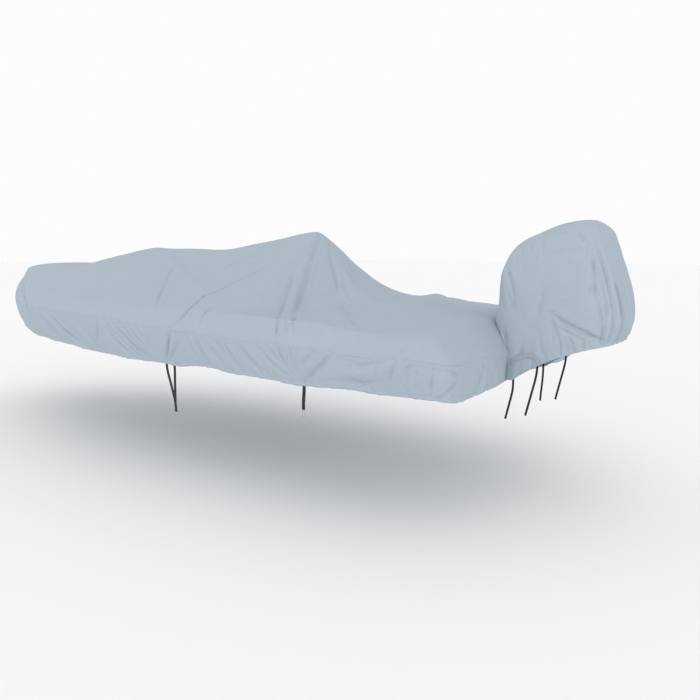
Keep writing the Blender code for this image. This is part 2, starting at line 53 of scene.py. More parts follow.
COLUMNS = ("s", "beam", "rail", "edge", "lap", "mid", "full", "hem", "tuck")
COVER = (
    (5.795, 0.085, 1.050, 1.300, 0.082, 1.384, 2.0, 0.870, 0.050),
    (5.75, 0.165, 1.052, 1.298, 0.094, 1.396, 2.0, 0.868, 0.048),
    (5.65, 0.240, 1.055, 1.294, 0.104, 1.408, 2.0, 0.866, 0.045),
    (5.50, 0.325, 1.060, 1.288, 0.110, 1.421, 2.0, 0.863, 0.042),
    (5.27, 0.430, 1.066, 1.278, 0.108, 1.438, 2.0, 0.861, 0.040),
    (5.00, 0.572, 1.074, 1.264, 0.102, 1.448, 1.9, 0.860, 0.040),
    (4.70, 0.733, 1.083, 1.250, 0.094, 1.452, 1.9, 0.860, 0.042),
    (4.40, 0.872, 1.091, 1.238, 0.084, 1.447, 1.8, 0.856, 0.044),
    (4.10, 0.978, 1.098, 1.230, 0.076, 1.502, 1.7, 0.850, 0.046),
    (3.80, 1.055, 1.104, 1.223, 0.070, 1.573, 1.6, 0.844, 0.048),
    (3.50, 1.105, 1.105, 1.216, 0.070, 1.594, 1.5, 0.834, 0.048),
    (3.20, 1.132, 1.103, 1.211, 0.070, 1.590, 1.5, 0.824, 0.048),
    (2.90, 1.148, 1.097, 1.207, 0.070, 1.589, 1.4, 0.814, 0.048),
    (2.60, 1.158, 1.082, 1.203, 0.070, 1.597, 1.3, 0.804, 0.048),
    (2.30, 1.163, 1.066, 1.200, 0.070, 1.640, 1.15, 0.799, 0.048),
    (2.05, 1.165, 1.060, 1.197, 0.070, 1.678, 1.05, 0.800, 0.048),
    (1.85, 1.165, 1.054, 1.195, 0.070, 1.716, 1.0, 0.822, 0.048),
    (1.71, 1.165, 1.050, 1.194, 0.070, 1.730, 0.93, 0.820, 0.048),
    (1.58, 1.164, 1.047, 1.193, 0.070, 1.622, 0.84, 0.810, 0.048),
    (1.42, 1.163, 1.044, 1.192, 0.070, 1.468, 0.64, 0.803, 0.048),
    (1.24, 1.160, 1.040, 1.189, 0.070, 1.330, 0.58, 0.794, 0.048),
    (1.06, 1.155, 1.033, 1.184, 0.070, 1.248, 0.80, 0.784, 0.048),
    (0.88, 1.149, 1.026, 1.170, 0.070, 1.220, 1.2, 0.786, 0.048),
    (0.70, 1.141, 1.021, 1.150, 0.070, 1.202, 2.0, 0.797, 0.048),
    (0.52, 1.131, 1.018, 1.140, 0.070, 1.194, 2.0, 0.801, 0.046),
    (0.35, 1.119, 1.013, 1.146, 0.078, 1.190, 2.2, 0.800, 0.042),
    (0.21, 1.107, 1.003, 1.140, 0.094, 1.184, 2.4, 0.803, 0.036),
    (0.09, 1.091, 0.992, 1.132, 0.114, 1.176, 2.4, 0.806, 0.026),
    (0.02, 1.060, 0.983, 1.124, 0.132, 1.170, 2.4, 0.806, 0.018),
    (0.00, 0.990, 0.976, 1.120, 0.142, 1.166, 2.4, 0.800, 0.016),
)
HOOD = (
    (0.112, 0.150, 1.420, 1.530, 0.040, 1.572, 2.4, 1.200, 0.000),
    (0.102, 0.212, 1.420, 1.552, 0.044, 1.608, 2.4, 1.200, 0.000),
    (0.076, 0.252, 1.412, 1.572, 0.050, 1.632, 2.4, 1.190, 0.000),
    (0.046, 0.269, 1.400, 1.582, 0.054, 1.649, 2.4, 1.168, 0.000),
    (0.020, 0.277, 1.385, 1.590, 0.055, 1.662, 2.4, 1.110, 0.000),
    (-0.006, 0.281, 1.370, 1.596, 0.056, 1.675, 2.4, 1.010, 0.000),
    (-0.018, 0.283, 1.350, 1.601, 0.057, 1.681, 2.4, 0.792, 0.000),
    (-0.090, 0.290, 1.310, 1.628, 0.062, 1.708, 2.4, 0.848, 0.006),
    (-0.190, 0.295, 1.270, 1.668, 0.070, 1.749, 2.4, 0.911, 0.012),
    (-0.290, 0.297, 1.262, 1.690, 0.076, 1.773, 2.4, 0.960, 0.020),
    (-0.390, 0.295, 1.256, 1.696, 0.080, 1.782, 2.4, 0.998, 0.026),
    (-0.480, 0.282, 1.250, 1.672, 0.086, 1.752, 2.4, 1.026, 0.030),
    (-0.555, 0.250, 1.215, 1.640, 0.094, 1.712, 2.4, 1.042, 0.034),
    (-0.605, 0.195, 1.200, 1.600, 0.100, 1.654, 2.4, 1.052, 0.036),
    (-0.628, 0.120, 1.190, 1.560, 0.100, 1.600, 2.4, 1.056, 0.036),
)

# Folds of the cloth.  Each row is one fold, its path a run of points on the
# surface: D = deck (s, t); B = the edge band (s, share of the way down, side);
# S = side panel (s, share down, side); T = the stern panel (t, share down);
# Z = a free point (s, t, z).
# wide_l and wide_r are the widths to the left and right of the way along the
# path, seen from outside; rise is out of the cloth, minus into it; end0 and
# end1 are its shares at the ends; point is 2 for a round fold, near 1 for a
# sharp one.
FOLD_COLUMNS = ("name", "path", "wide_l", "wide_r", "rise", "end0", "end1", "point")
PORT, STBD = 1.0, -1.0
DECK_FOLDS = (
    # the raised middle, port side: its edge runs from the bow side aft
    ("middle edge fore", (("D", 3.62, 0.02), ("D", 3.30, 0.20), ("Z", 2.910, 0.439, 1.508)), 0.050, 0.045, 0.010, 0.2, 1.0, 1.6),
    ("middle edge aft", (("Z", 2.910, 0.439, 1.508), ("Z", 2.686, 0.552, 1.462), ("Z", 2.440, 0.690, 1.405), ("Z", 2.231, 0.795, 1.358), ("Z", 2.050, 0.880, 1.300)), 0.036, 0.022, 0.016, 1.0, 0.7, 1.4),
    ("middle crease", (("Z", 2.648, 0.530, 1.479), ("Z", 2.690, 0.580, 1.448), ("Z", 2.618, 0.700, 1.392), ("Z", 2.513, 0.838, 1.322), ("Z", 2.417, 0.963, 1.258), ("Z", 2.320, 1.085, 1.193), ("Z", 2.278, 1.154, 1.102)), 0.016, 0.015, -0.0135, 0.6, 0.1, 1.2),
    ("strong low", (("Z", 2.003, 0.920, 1.286), ("Z", 1.990, 0.990, 1.238), ("Z", 1.985, 1.070, 1.192), ("Z", 2.008, 1.125, 1.136), ("Z", 2.046, 1.156, 1.087)), 0.015, 0.014, -0.018, 0.95, 0.35, 1.15),
    ("strong up", (("Z", 2.003, 0.920, 1.286), ("Z", 1.955, 0.870, 1.313), ("Z", 1.905, 0.795, 1.350), ("Z", 1.864, 0.710, 1.392), ("Z", 1.823, 0.637, 1.428), ("Z", 1.785, 0.542, 1.473), ("Z", 1.744, 0.448, 1.517)), 0.018, 0.017, -0.018, 0.95, 0.25, 1.15),
    ("strong up lip", (("D", 1.93, 0.96), ("D", 1.82, 0.82), ("D", 1.75, 0.68), ("D", 1.70, 0.54)), 0.026, 0.026, 0.005, 0.6, 0.2, 2.0),
    ("second up", (("D", 1.97, 0.60), ("D", 1.92, 0.44), ("D", 1.87, 0.30)), 0.016, 0.016, 0.005, 0.3, 0.3, 1.6),
    ("faint up", (("Z", 2.269, 0.723, 1.395), ("Z", 2.244, 0.674, 1.409), ("Z", 2.195, 0.598, 1.445), ("Z", 2.135, 0.511, 1.486), ("Z", 2.080, 0.440, 1.520), ("Z", 2.000, 0.350, 1.565), ("Z", 1.910, 0.271, 1.608), ("Z", 1.841, 0.183, 1.653)), 0.020, 0.017, -0.0135, 0.3, 0.4, 1.3),
    ("faint up two", (("Z", 2.038, 0.600, 1.444), ("Z", 1.994, 0.561, 1.463), ("Z", 1.943, 0.492, 1.494), ("Z", 1.856, 0.398, 1.546)), 0.016, 0.015, -0.010, 0.3, 0.3, 1.4),
    ("faint low", (("Z", 1.790, 1.000, 1.235), ("Z", 1.805, 1.068, 1.205), ("Z", 1.811, 1.111, 1.166), ("Z", 1.817, 1.146, 1.111)), 0.012, 0.011, -0.012, 0.3, 0.4, 1.2),
    ("left of the peak", (("Z", 1.600, 0.370, 1.500), ("Z", 1.582, 0.417, 1.457), ("Z", 1.528, 0.547, 1.352), ("Z", 1.467, 0.668, 1.282), ("Z", 1.377, 0.819, 1.218), ("Z", 1.205, 1.058, 1.183)), 0.013, 0.020, -0.0150, 0.1, 0.6, 1.15),
    ("broad fold", (("Z", 1.672, 0.020, 1.694), ("Z", 1.645, 0.076, 1.653), ("Z", 1.612, 0.146, 1.588), ("Z", 1.556, 0.293, 1.464), ("Z", 1.497, 0.411, 1.369), ("Z", 1.420, 0.564, 1.278), ("Z", 1.293, 0.772, 1.202), ("Z", 1.137, 0.995, 1.178)), 0.026, 0.016, -0.0210, 0.7, 0.4, 1.5),
    ("broad fold lip", (("Z", 1.600, 0.060, 1.660), ("Z", 1.572, 0.146, 1.588), ("Z", 1.514, 0.293, 1.464), ("Z", 1.455, 0.411, 1.369), ("Z", 1.378, 0.564, 1.278), ("Z", 1.250, 0.772, 1.202), ("Z", 1.090, 0.995, 1.178)), 0.012, 0.022, 0.0150, 0.4, 0.3, 1.2),
    ("band tick", (("D", 1.16, 1.03), ("B", 1.09, 0.30, PORT), ("B", 1.075, 0.95, PORT)), 0.009, 0.009, -0.009, 0.3, 0.3, 1.3),
    ("left fold on the band", (("Z", 1.225, 1.030, 1.187), ("Z", 1.180, 1.090, 1.165), ("Z", 1.160, 1.125, 1.120), ("Z", 1.145, 1.147, 1.064)), 0.009, 0.010, -0.0135, 0.8, 0.3, 1.2),
    ("broad fold on the band", (("Z", 1.130, 0.970, 1.181), ("Z", 1.075, 1.060, 1.166), ("Z", 1.035, 1.110, 1.130), ("Z", 1.020, 1.129, 1.089)), 0.009, 0.011, -0.0135, 0.8, 0.2, 1.2),
    ("aft dot", (("Z", 0.801, 0.823, 1.174), ("Z", 0.735, 0.905, 1.164), ("Z", 0.669, 0.983, 1.155)), 0.012, 0.011, -0.0080, 0.3, 0.3, 1.3),
    ("aft band crease", (("Z", 0.255, 1.060, 1.095), ("Z", 0.284, 1.085, 1.065), ("Z", 0.305, 1.096, 1.045)), 0.010, 0.010, -0.009, 0.3, 0.3, 1.3),
    ("bow dart top", (("Z", 5.500, 0.240, 1.250), ("Z", 5.260, 0.362, 1.214), ("Z", 4.850, 0.620, 1.180), ("Z", 4.454, 0.830, 1.145), ("Z", 4.234, 0.926, 1.060)), 0.020, 0.018, -0.017, 0.3, 0.8, 1.25),
    ("aft of the peak", (("Z", 1.630, -0.060, 1.680), ("Z", 1.605, -0.020, 1.645), ("Z", 1.521, 0.076, 1.545), ("Z", 1.443, 0.145, 1.442), ("Z", 1.354, 0.232, 1.343), ("Z", 1.245, 0.360, 1.268)), 0.013, 0.026, -0.0155, 0.5, 0.4, 1.2),
    ("fan a", (("Z", 1.489, -0.001, 1.533), ("Z", 1.411, 0.035, 1.460), ("Z", 1.327, 0.062, 1.378), ("Z", 1.251, 0.098, 1.319)), 0.013, 0.017, -0.011, 0.3, 0.3, 1.3),
    ("fan b", (("Z", 1.500, -0.080, 1.545), ("Z", 1.400, -0.030, 1.450), ("Z", 1.290, 0.030, 1.352), ("Z", 1.190, 0.085, 1.285)), 0.012, 0.016, -0.010, 0.3, 0.3, 1.3),
    ("fan c", (("D", 1.50, -0.12), ("D", 1.34, -0.03), ("D", 1.18, 0.06), ("D", 1.06, 0.12)), 0.013, 0.017, -0.008, 0.3, 0.3, 1.4),
    ("fan d", (("Z", 1.390, 0.090, 1.420), ("Z", 1.308, 0.198, 1.343), ("Z", 1.201, 0.296, 1.270), ("Z", 1.100, 0.390, 1.230)), 0.013, 0.016, -0.010, 0.3, 0.3, 1.3),
    ("fan ridge", (("D", 1.46, 0.02), ("D", 1.30, 0.12), ("D", 1.17, 0.21)), 0.020, 0.022, 0.006, 0.3, 0.3, 1.6),
    ("light ridge", (("D", 1.16, 0.19), ("D", 1.06, 0.22), ("D", 0.92, 0.24), ("D", 0.76, 0.26), ("D", 0.60, 0.22)), 0.035, 0.028, 0.007, 0.3, 0.2, 1.6),
    ("light trough", (("D", 1.14, 0.12), ("D", 1.02, 0.14), ("D", 0.90, 0.17), ("D", 0.78, 0.18)), 0.026, 0.026, -0.005, 0.3, 0.2, 1.6),
    ("dip fore", (("D", 1.22, 0.42), ("D", 1.15, 0.48), ("D", 1.06, 0.56), ("D", 0.96, 0.66)), 0.024, 0.022, -0.010, 0.3, 0.9, 1.4),
    ("dip aft", (("D", 0.96, 0.66), ("D", 0.84, 0.78), ("D", 0.75, 0.88), ("D", 0.66, 0.95), ("B", 0.58, 0.25, PORT)), 0.026, 0.022, -0.0080, 0.9, 0.3, 1.5),
    ("dip shoulder", (("D", 1.22, 0.58), ("D", 1.10, 0.66), ("D", 0.98, 0.80), ("D", 0.90, 0.94)), 0.045, 0.045, 0.007, 0.2, 0.4, 1.8),
    ("dip cross", (("D", 1.30, 0.40), ("D", 1.18, 0.40), ("D", 1.08, 0.38)), 0.020, 0.020, -0.007, 0.3, 0.3, 1.6),
    ("aft band sag one", (("B", 0.98, 0.75, PORT), ("B", 0.80, 0.45, PORT), ("B", 0.62, 0.35, PORT), ("B", 0.46, 0.40, PORT)), 0.018, 0.018, -0.006, 0.3, 0.3, 1.6),
    ("aft band sag two", (("B", 0.90, 1.0, PORT), ("B", 0.74, 0.75, PORT), ("B", 0.58, 0.65, PORT), ("B", 0.40, 0.72, PORT)), 0.015, 0.015, -0.006, 0.3, 0.2, 1.5),
    ("aft swell", (("D", 0.92, 0.98), ("B", 0.84, 0.20, PORT), ("B", 0.70, 0.30, PORT)), 0.045, 0.045, 0.007, 0.3, 0.3, 2.0),
    ("aft deck long one", (("D", 0.72, 0.62), ("D", 0.52, 0.66), ("D", 0.30, 0.60)), 0.10, 0.12, -0.006, 0.3, 0.3, 2.0),
    ("aft deck long two", (("D", 0.60, 0.86), ("D", 0.42, 0.92), ("D", 0.26, 0.88)), 0.07, 0.07, 0.004, 0.3, 0.3, 2.0),
    # fore deck
    ("bow flat crease", (("D", 5.62, 0.06), ("D", 5.40, 0.16), ("D", 5.22, 0.26)), 0.040, 0.050, -0.004, 0.3, 0.2, 1.6),
    ("bow crease", (("D", 5.34, 0.21), ("D", 4.95, 0.42), ("D", 4.50, 0.64), ("D", 4.05, 0.81)), 0.10, 0.12, -0.006, 0.2, 0.2, 2.0),
    ("fore shoulder", (("D", 3.60, 0.55), ("D", 3.30, 0.76), ("D", 2.98, 0.98)), 0.14, 0.16, -0.007, 0.3, 0.3, 2.0),
    ("step foot", (("D", 4.55, 0.05), ("D", 4.45, 0.40), ("D", 4.40, 0.72)), 0.16, 0.20, -0.006, 0.4, 0.2, 2.0),
    # starboard side
    ("stbd middle edge fore", (("D", 3.40, -0.16), ("D", 3.00, -0.38), ("D", 2.66, -0.58)), 0.060, 0.070, 0.012, 0.2, 1.0, 1.6),
    ("stbd middle edge aft", (("D", 2.66, -0.58), ("D", 2.40, -0.72), ("D", 2.14, -0.86)), 0.050, 0.060, 0.015, 1.0, 0.7, 1.5),
    ("stbd middle crease", (("D", 2.70, -0.56), ("D", 2.54, -0.84), ("D", 2.42, -1.02), ("B", 2.38, 0.5, STBD)), 0.034, 0.045, -0.013, 0.5, 0.3, 1.3),
    ("stbd strong low", (("D", 2.12, -0.88), ("D", 2.04, -1.04), ("B", 2.04, 0.4, STBD), ("B", 2.08, 0.9, STBD)), 0.030, 0.028, -0.018, 0.8, 0.3, 1.2),
    ("stbd strong up", (("D", 2.13, -0.86), ("D", 2.04, -0.66), ("D", 1.96, -0.46), ("D", 1.90, -0.28)), 0.036, 0.030, -0.018, 0.9, 0.2, 1.25),
    ("stbd faint up", (("D", 2.34, -0.60), ("D", 2.18, -0.42), ("D", 2.02, -0.20)), 0.040, 0.036, -0.009, 0.3, 0.3, 1.4),
    ("stbd left of the peak", (("D", 1.64, -0.40), ("D", 1.50, -0.66), ("D", 1.34, -0.90), ("B", 1.24, 0.3, STBD), ("B", 1.22, 0.9, STBD)), 0.040, 0.022, -0.018, 0.2, 0.6, 1.2),
    ("stbd broad fold", (("D", 1.68, -0.06), ("D", 1.56, -0.26), ("D", 1.40, -0.54), ("D", 1.24, -0.84), ("D", 1.12, -1.06), ("B", 1.10, 0.6, STBD)), 0.058, 0.019, -0.030, 0.3, 0.5, 1.25),
    ("stbd fan a", (("D", 1.54, -0.14), ("D", 1.40, -0.28), ("D", 1.28, -0.42)), 0.030, 0.024, -0.014, 0.3, 0.3, 1.4),
    ("stbd fan b", (("D", 1.48, -0.10), ("D", 1.32, -0.18), ("D", 1.18, -0.26)), 0.028, 0.024, -0.011, 0.3, 0.3, 1.4),
    ("stbd dip", (("D", 1.08, -0.54), ("D", 0.90, -0.72), ("D", 0.72, -0.90), ("B", 0.62, 0.3, STBD)), 0.040, 0.036, -0.011, 0.3, 0.3, 1.5),
    ("stbd aft long", (("D", 0.66, -0.56), ("D", 0.46, -0.66), ("D", 0.26, -0.62)), 0.10, 0.10, -0.006, 0.3, 0.3, 2.0),
    ("stbd bow crease", (("D", 5.20, -0.26), ("D", 4.80, -0.48), ("D", 4.30, -0.70)), 0.11, 0.10, -0.006, 0.2, 0.2, 2.0),
    ("stbd fore shoulder", (("D", 3.66, -0.50), ("D", 3.34, -0.78), ("D", 3.08, -0.96)), 0.14, 0.14, -0.007, 0.3, 0.3, 2.0),
)

# Broad swells and hollows of the top: where (s, t), how far (along, across), rise.
SWELL_COLUMNS = ("s", "t", "along", "across", "rise")
SWELLS = (
    (1.20, -0.98, 0.075, 0.16, 0.034),
    (1.45, -0.90, 0.11, 0.20, -0.024),
    (1.57, -0.62, 0.10, 0.20, -0.018),
    (1.66, -0.42, 0.08, 0.15, -0.010),
    (0.90, -1.04, 0.12, 0.15, -0.010),
    (3.80, 0.31, 0.14, 0.18, -0.026),
    (4.08, -0.40, 0.26, 0.34, -0.012),
    (3.50, 0.08, 0.14, 0.18, 0.008),
    (3.16, 0.00, 0.20, 0.20, 0.009),
    (1.08, -0.10, 0.10, 0.20, -0.008),
    (0.90, -0.45, 0.10, 0.30, 0.006),
    (0.52, -0.20, 0.14, 0.40, -0.004),
    (0.62, 0.30, 0.20, 0.22, 0.006),
    (0.40, 0.72, 0.14, 0.14, 0.006),
)

# Folds of the side panels, port then starboard.
SIDE_FOLDS = (
    ("bow dart", (("Z", 4.300, 0.900, 1.085), ("Z", 4.234, 0.926, 1.060), ("Z", 4.150, 0.950, 1.010), ("Z", 4.091, 0.964, 0.971), ("Z", 4.048, 0.966, 0.900)), 0.018, 0.020, -0.017, 0.5, 0.6, 1.25),
    ("bow diagonal one", (("Z", 3.930, 1.022, 1.110), ("Z", 3.820, 1.044, 1.032), ("Z", 3.705, 1.055, 0.967), ("Z", 3.600, 1.055, 0.890)), 0.013, 0.018, -0.015, 0.2, 0.7, 1.25),
    ("bow diagonal one ridge", (("S", 3.84, 0.10, PORT), ("S", 3.62, 0.40, PORT), ("S", 3.40, 0.72, PORT), ("S", 3.22, 0.98, PORT)), 0.024, 0.024, 0.009, 0.2, 0.6, 1.5),
    ("bow diagonal two", (("Z", 3.788, 1.058, 1.106), ("Z", 3.639, 1.077, 1.046), ("Z", 3.488, 1.088, 0.974), ("Z", 3.357, 1.088, 0.920), ("Z", 3.200, 1.084, 0.860)), 0.013, 0.018, -0.015, 0.2, 0.6, 1.25),
    ("bow small a", (("S", 4.36, 0.55, PORT), ("S", 4.22, 0.98, PORT)), 0.013, 0.015, -0.008, 0.2, 0.8, 1.4),
    ("bow small b", (("S", 3.98, 0.50, PORT), ("S", 3.84, 0.98, PORT)), 0.013, 0.015, -0.009, 0.2, 0.8, 1.4),
    ("bow small c", (("S", 3.70, 0.55, PORT), ("S", 3.56, 0.98, PORT)), 0.013, 0.015, -0.008, 0.2, 0.8, 1.4),
    ("bow fine a", (("B", 4.20, 0.90, PORT), ("S", 4.06, 0.30, PORT), ("S", 3.90, 0.72, PORT)), 0.010, 0.012, -0.008, 0.2, 0.3, 1.3),
    ("bow fine b", (("S", 4.02, 0.06, PORT), ("S", 3.86, 0.40, PORT), ("S", 3.70, 0.80, PORT)), 0.010, 0.012, -0.009, 0.2, 0.3, 1.3),
    ("bow fine c", (("S", 3.66, 0.10, PORT), ("S", 3.46, 0.48, PORT), ("S", 3.28, 0.84, PORT)), 0.010, 0.012, -0.009, 0.2, 0.4, 1.3),
    ("bow fine d", (("S", 3.60, 0.02, PORT), ("S", 3.38, 0.44, PORT), ("S", 3.18, 0.86, PORT)), 0.010, 0.012, -0.008, 0.2, 0.4, 1.3),
    ("bow fine e", (("S", 3.46, 0.14, PORT), ("S", 3.28, 0.50, PORT), ("S", 3.10, 0.90, PORT)), 0.010, 0.012, -0.008, 0.2, 0.4, 1.3),
    ("bow fine f", (("S", 3.24, 0.10, PORT), ("S", 3.12, 0.50, PORT), ("S", 3.02, 0.90, PORT)), 0.011, 0.012, -0.008, 0.2, 0.4, 1.3),
    ("bow fine g", (("S", 3.10, 0.40, PORT), ("S", 3.02, 0.70, PORT), ("S", 2.92, 0.97, PORT)), 0.010, 0.011, -0.008, 0.2, 0.6, 1.3),
    ("fan fine a", (("S", 2.83, 0.04, PORT), ("S", 2.70, 0.40, PORT), ("S", 2.52, 0.80, PORT), ("S", 2.42, 0.97, PORT)), 0.011, 0.012, -0.010, 0.3, 0.4, 1.3),
    ("fan fine b", (("S", 2.80, 0.45, PORT), ("S", 2.62, 0.76, PORT), ("S", 2.50, 0.97, PORT)), 0.010, 0.011, -0.008, 0.2, 0.5, 1.3),
    ("fan fine c", (("S", 2.695, 0.05, PORT), ("S", 2.57, 0.42, PORT), ("S", 2.43, 0.76, PORT), ("S", 2.36, 0.92, PORT)), 0.008, 0.009, -0.007, 0.3, 0.3, 1.4),
    ("fan fine d", (("S", 2.60, 0.05, PORT), ("S", 2.49, 0.42, PORT), ("S", 2.39, 0.72, PORT)), 0.008, 0.009, -0.007, 0.3, 0.3, 1.4),
    ("fan fine e", (("S", 2.50, 0.05, PORT), ("S", 2.42, 0.40, PORT), ("S", 2.35, 0.70, PORT)), 0.008, 0.009, -0.007, 0.3, 0.3, 1.4),
    ("fan fine f", (("S", 2.41, 0.05, PORT), ("S", 2.36, 0.40, PORT), ("S", 2.32, 0.64, PORT)), 0.008, 0.009, -0.007, 0.3, 0.3, 1.4),
    ("mid fine a", (("S", 1.92, 0.10, PORT), ("S", 1.90, 0.40, PORT), ("S", 1.86, 0.70, PORT)), 0.009, 0.011, -0.007, 0.3, 0.3, 1.3),
    ("mid fine b", (("S", 1.72, 0.30, PORT), ("S", 1.66, 0.60, PORT), ("S", 1.60, 0.94, PORT)), 0.009, 0.012, -0.008, 0.3, 0.5, 1.3),
    ("mid fine c", (("S", 1.66, 0.06, PORT), ("S", 1.62, 0.30, PORT), ("S", 1.55, 0.60, PORT)), 0.009, 0.011, -0.007, 0.3, 0.3, 1.3),
    ("mid fine d", (("S", 1.38, 0.40, PORT), ("S", 1.28, 0.70, PORT), ("S", 1.20, 0.96, PORT)), 0.009, 0.011, -0.008, 0.3, 0.5, 1.3),
    ("mid fine e", (("S", 1.22, 0.06, PORT), ("S", 1.16, 0.30, PORT), ("S", 1.08, 0.62, PORT)), 0.009, 0.010, -0.008, 0.3, 0.3, 1.3),
    ("mid fine f", (("S", 1.18, 0.50, PORT), ("S", 1.10, 0.72, PORT), ("S", 1.03, 0.93, PORT)), 0.008, 0.010, -0.007, 0.3, 0.4, 1.3),
    ("mid fine g", (("S", 1.07, 0.10, PORT), ("S", 1.055, 0.46, PORT), ("S", 1.02, 0.88, PORT)), 0.008, 0.009, -0.007, 0.3, 0.3, 1.3),
    ("mid fine h", (("S", 0.98, 0.04, PORT), ("S", 1.00, 0.42, PORT), ("S", 1.00, 0.84, PORT)), 0.008, 0.009, -0.007, 0.3, 0.3, 1.3),
    ("aft fine a", (("S", 0.74, 0.20, PORT), ("S", 0.66, 0.16, PORT), ("S", 0.57, 0.22, PORT)), 0.011, 0.012, -0.007, 0.3, 0.3, 1.3),
    ("aft fine b", (("S", 0.66, 0.70, PORT), ("S", 0.57, 0.74, PORT), ("S", 0.50, 0.80, PORT)), 0.010, 0.011, -0.008, 0.3, 0.3, 1.3),
    ("aft fine c", (("S", 0.46, 0.20, PORT), ("S", 0.44, 0.40, PORT), ("S", 0.45, 0.66, PORT)), 0.010, 0.011, -0.008, 0.3, 0.3, 1.3),
    ("stern fine a", (("Z", 0.002, 0.652, 0.937), ("Z", 0.002, 0.595, 0.904), ("Z", 0.002, 0.536, 0.871)), 0.016, 0.022, -0.010, 0.6, 0.3, 1.4),
    ("aft short", (("Z", 0.216, 1.104, 1.003), ("Z", 0.235, 1.104, 0.980), ("Z", 0.258, 1.100, 0.950)), 0.008, 0.009, -0.0090, 0.4, 0.3, 1.3),
    ("bow bend", (("Z", 2.806, 1.147, 1.026), ("Z", 2.772, 1.138, 0.975), ("Z", 2.720, 1.130, 0.920), ("Z", 2.602, 1.121, 0.868)), 0.012, 0.014, -0.012, 0.3, 0.4, 1.3),
    ("pucker", (("S", 2.93, 0.04, PORT), ("S", 2.95, 0.45, PORT), ("S", 3.00, 0.85, PORT)), 0.018, 0.020, -0.014, 0.5, 0.3, 1.3),
    ("pucker ridge", (("S", 2.86, 0.04, PORT), ("S", 2.87, 0.50, PORT), ("S", 2.92, 0.85, PORT)), 0.022, 0.022, 0.008, 0.4, 0.3, 1.5),
    ("fan one", (("S", 2.75, 0.02, PORT), ("S", 2.62, 0.36, PORT), ("S", 2.46, 0.72, PORT), ("S", 2.34, 0.97, PORT)), 0.013, 0.013, -0.014, 0.4, 0.6, 1.2),
    ("fan one ridge", (("S", 2.70, 0.02, PORT), ("S", 2.57, 0.36, PORT), ("S", 2.42, 0.74, PORT)), 0.016, 0.016, 0.008, 0.4, 0.3, 1.5),
    ("fan two", (("S", 2.65, 0.02, PORT), ("S", 2.53, 0.38, PORT), ("S", 2.40, 0.74, PORT), ("S", 2.32, 0.97, PORT)), 0.011, 0.012, -0.012, 0.4, 0.5, 1.2),
    ("fan two ridge", (("S", 2.60, 0.02, PORT), ("S", 2.49, 0.38, PORT), ("S", 2.38, 0.76, PORT)), 0.014, 0.014, 0.008, 0.4, 0.3, 1.5),
    ("fan three", (("S", 2.555, 0.02, PORT), ("S", 2.45, 0.40, PORT), ("S", 2.36, 0.74, PORT), ("S", 2.31, 0.95, PORT)), 0.011, 0.012, -0.012, 0.4, 0.4, 1.2),
    ("fan three ridge", (("S", 2.51, 0.02, PORT), ("S", 2.42, 0.40, PORT), ("S", 2.345, 0.74, PORT)), 0.013, 0.013, 0.007, 0.4, 0.3, 1.5),
    ("fan four", (("S", 2.46, 0.02, PORT), ("S", 2.385, 0.40, PORT), ("S", 2.33, 0.72, PORT)), 0.010, 0.012, -0.011, 0.4, 0.3, 1.2),
    ("fan five", (("S", 2.37, 0.02, PORT), ("S", 2.335, 0.36, PORT), ("S", 2.31, 0.66, PORT)), 0.010, 0.012, -0.009, 0.4, 0.3, 1.3),
    ("dark upright", (("B", 2.07, 0.85, PORT), ("S", 2.09, 0.10, PORT), ("S", 2.13, 0.45, PORT), ("S", 2.19, 0.95, PORT)), 0.012, 0.018, -0.020, 0.5, 0.6, 1.15),
    ("dark upright ridge", (("S", 2.03, 0.10, PORT), ("S", 2.08, 0.50, PORT), ("S", 2.14, 0.90, PORT)), 0.022, 0.018, 0.009, 0.3, 0.5, 1.5),
    ("second upright", (("S", 1.99, 0.25, PORT), ("S", 2.04, 0.48, PORT), ("S", 2.11, 0.74, PORT), ("S", 2.17, 0.96, PORT)), 0.012, 0.016, -0.013, 0.3, 0.6, 1.25),
    ("diagonal one", (("S", 1.85, 0.06, PORT), ("S", 1.81, 0.45, PORT), ("S", 1.75, 0.85, PORT)), 0.013, 0.018, -0.012, 0.3, 0.4, 1.3),
    ("diagonal one ridge", (("S", 1.80, 0.10, PORT), ("S", 1.76, 0.50, PORT), ("S", 1.70, 0.90, PORT)), 0.020, 0.020, 0.007, 0.3, 0.4, 1.5),
    ("diagonal two", (("S", 1.58, 0.12, PORT), ("S", 1.54, 0.45, PORT), ("S", 1.46, 0.85, PORT)), 0.013, 0.018, -0.011, 0.3, 0.4, 1.3),
    ("diagonal three", (("S", 1.46, 0.10, PORT), ("S", 1.38, 0.46, PORT), ("S", 1.29, 0.82, PORT)), 0.013, 0.018, -0.012, 0.3, 0.4, 1.3),
    ("diagonal three ridge", (("S", 1.40, 0.08, PORT), ("S", 1.32, 0.46, PORT), ("S", 1.24, 0.84, PORT)), 0.018, 0.018, 0.007, 0.3, 0.4, 1.5),
    ("diagonal four", (("S", 1.30, 0.06, PORT), ("S", 1.22, 0.40, PORT), ("S", 1.13, 0.75, PORT)), 0.011, 0.014, -0.009, 0.3, 0.3, 1.3),
    ("diagonal five", (("S", 1.14, 0.02, PORT), ("S", 1.10, 0.35, PORT), ("S", 1.04, 0.78, PORT)), 0.011, 0.014, -0.012, 0.4, 0.3, 1.2),
    ("diagonal six", (("S", 1.03, 0.02, PORT), ("S", 1.03, 0.40, PORT), ("S", 1.01, 0.80, PORT)), 0.010, 0.012, -0.009, 0.4, 0.3, 1.3),
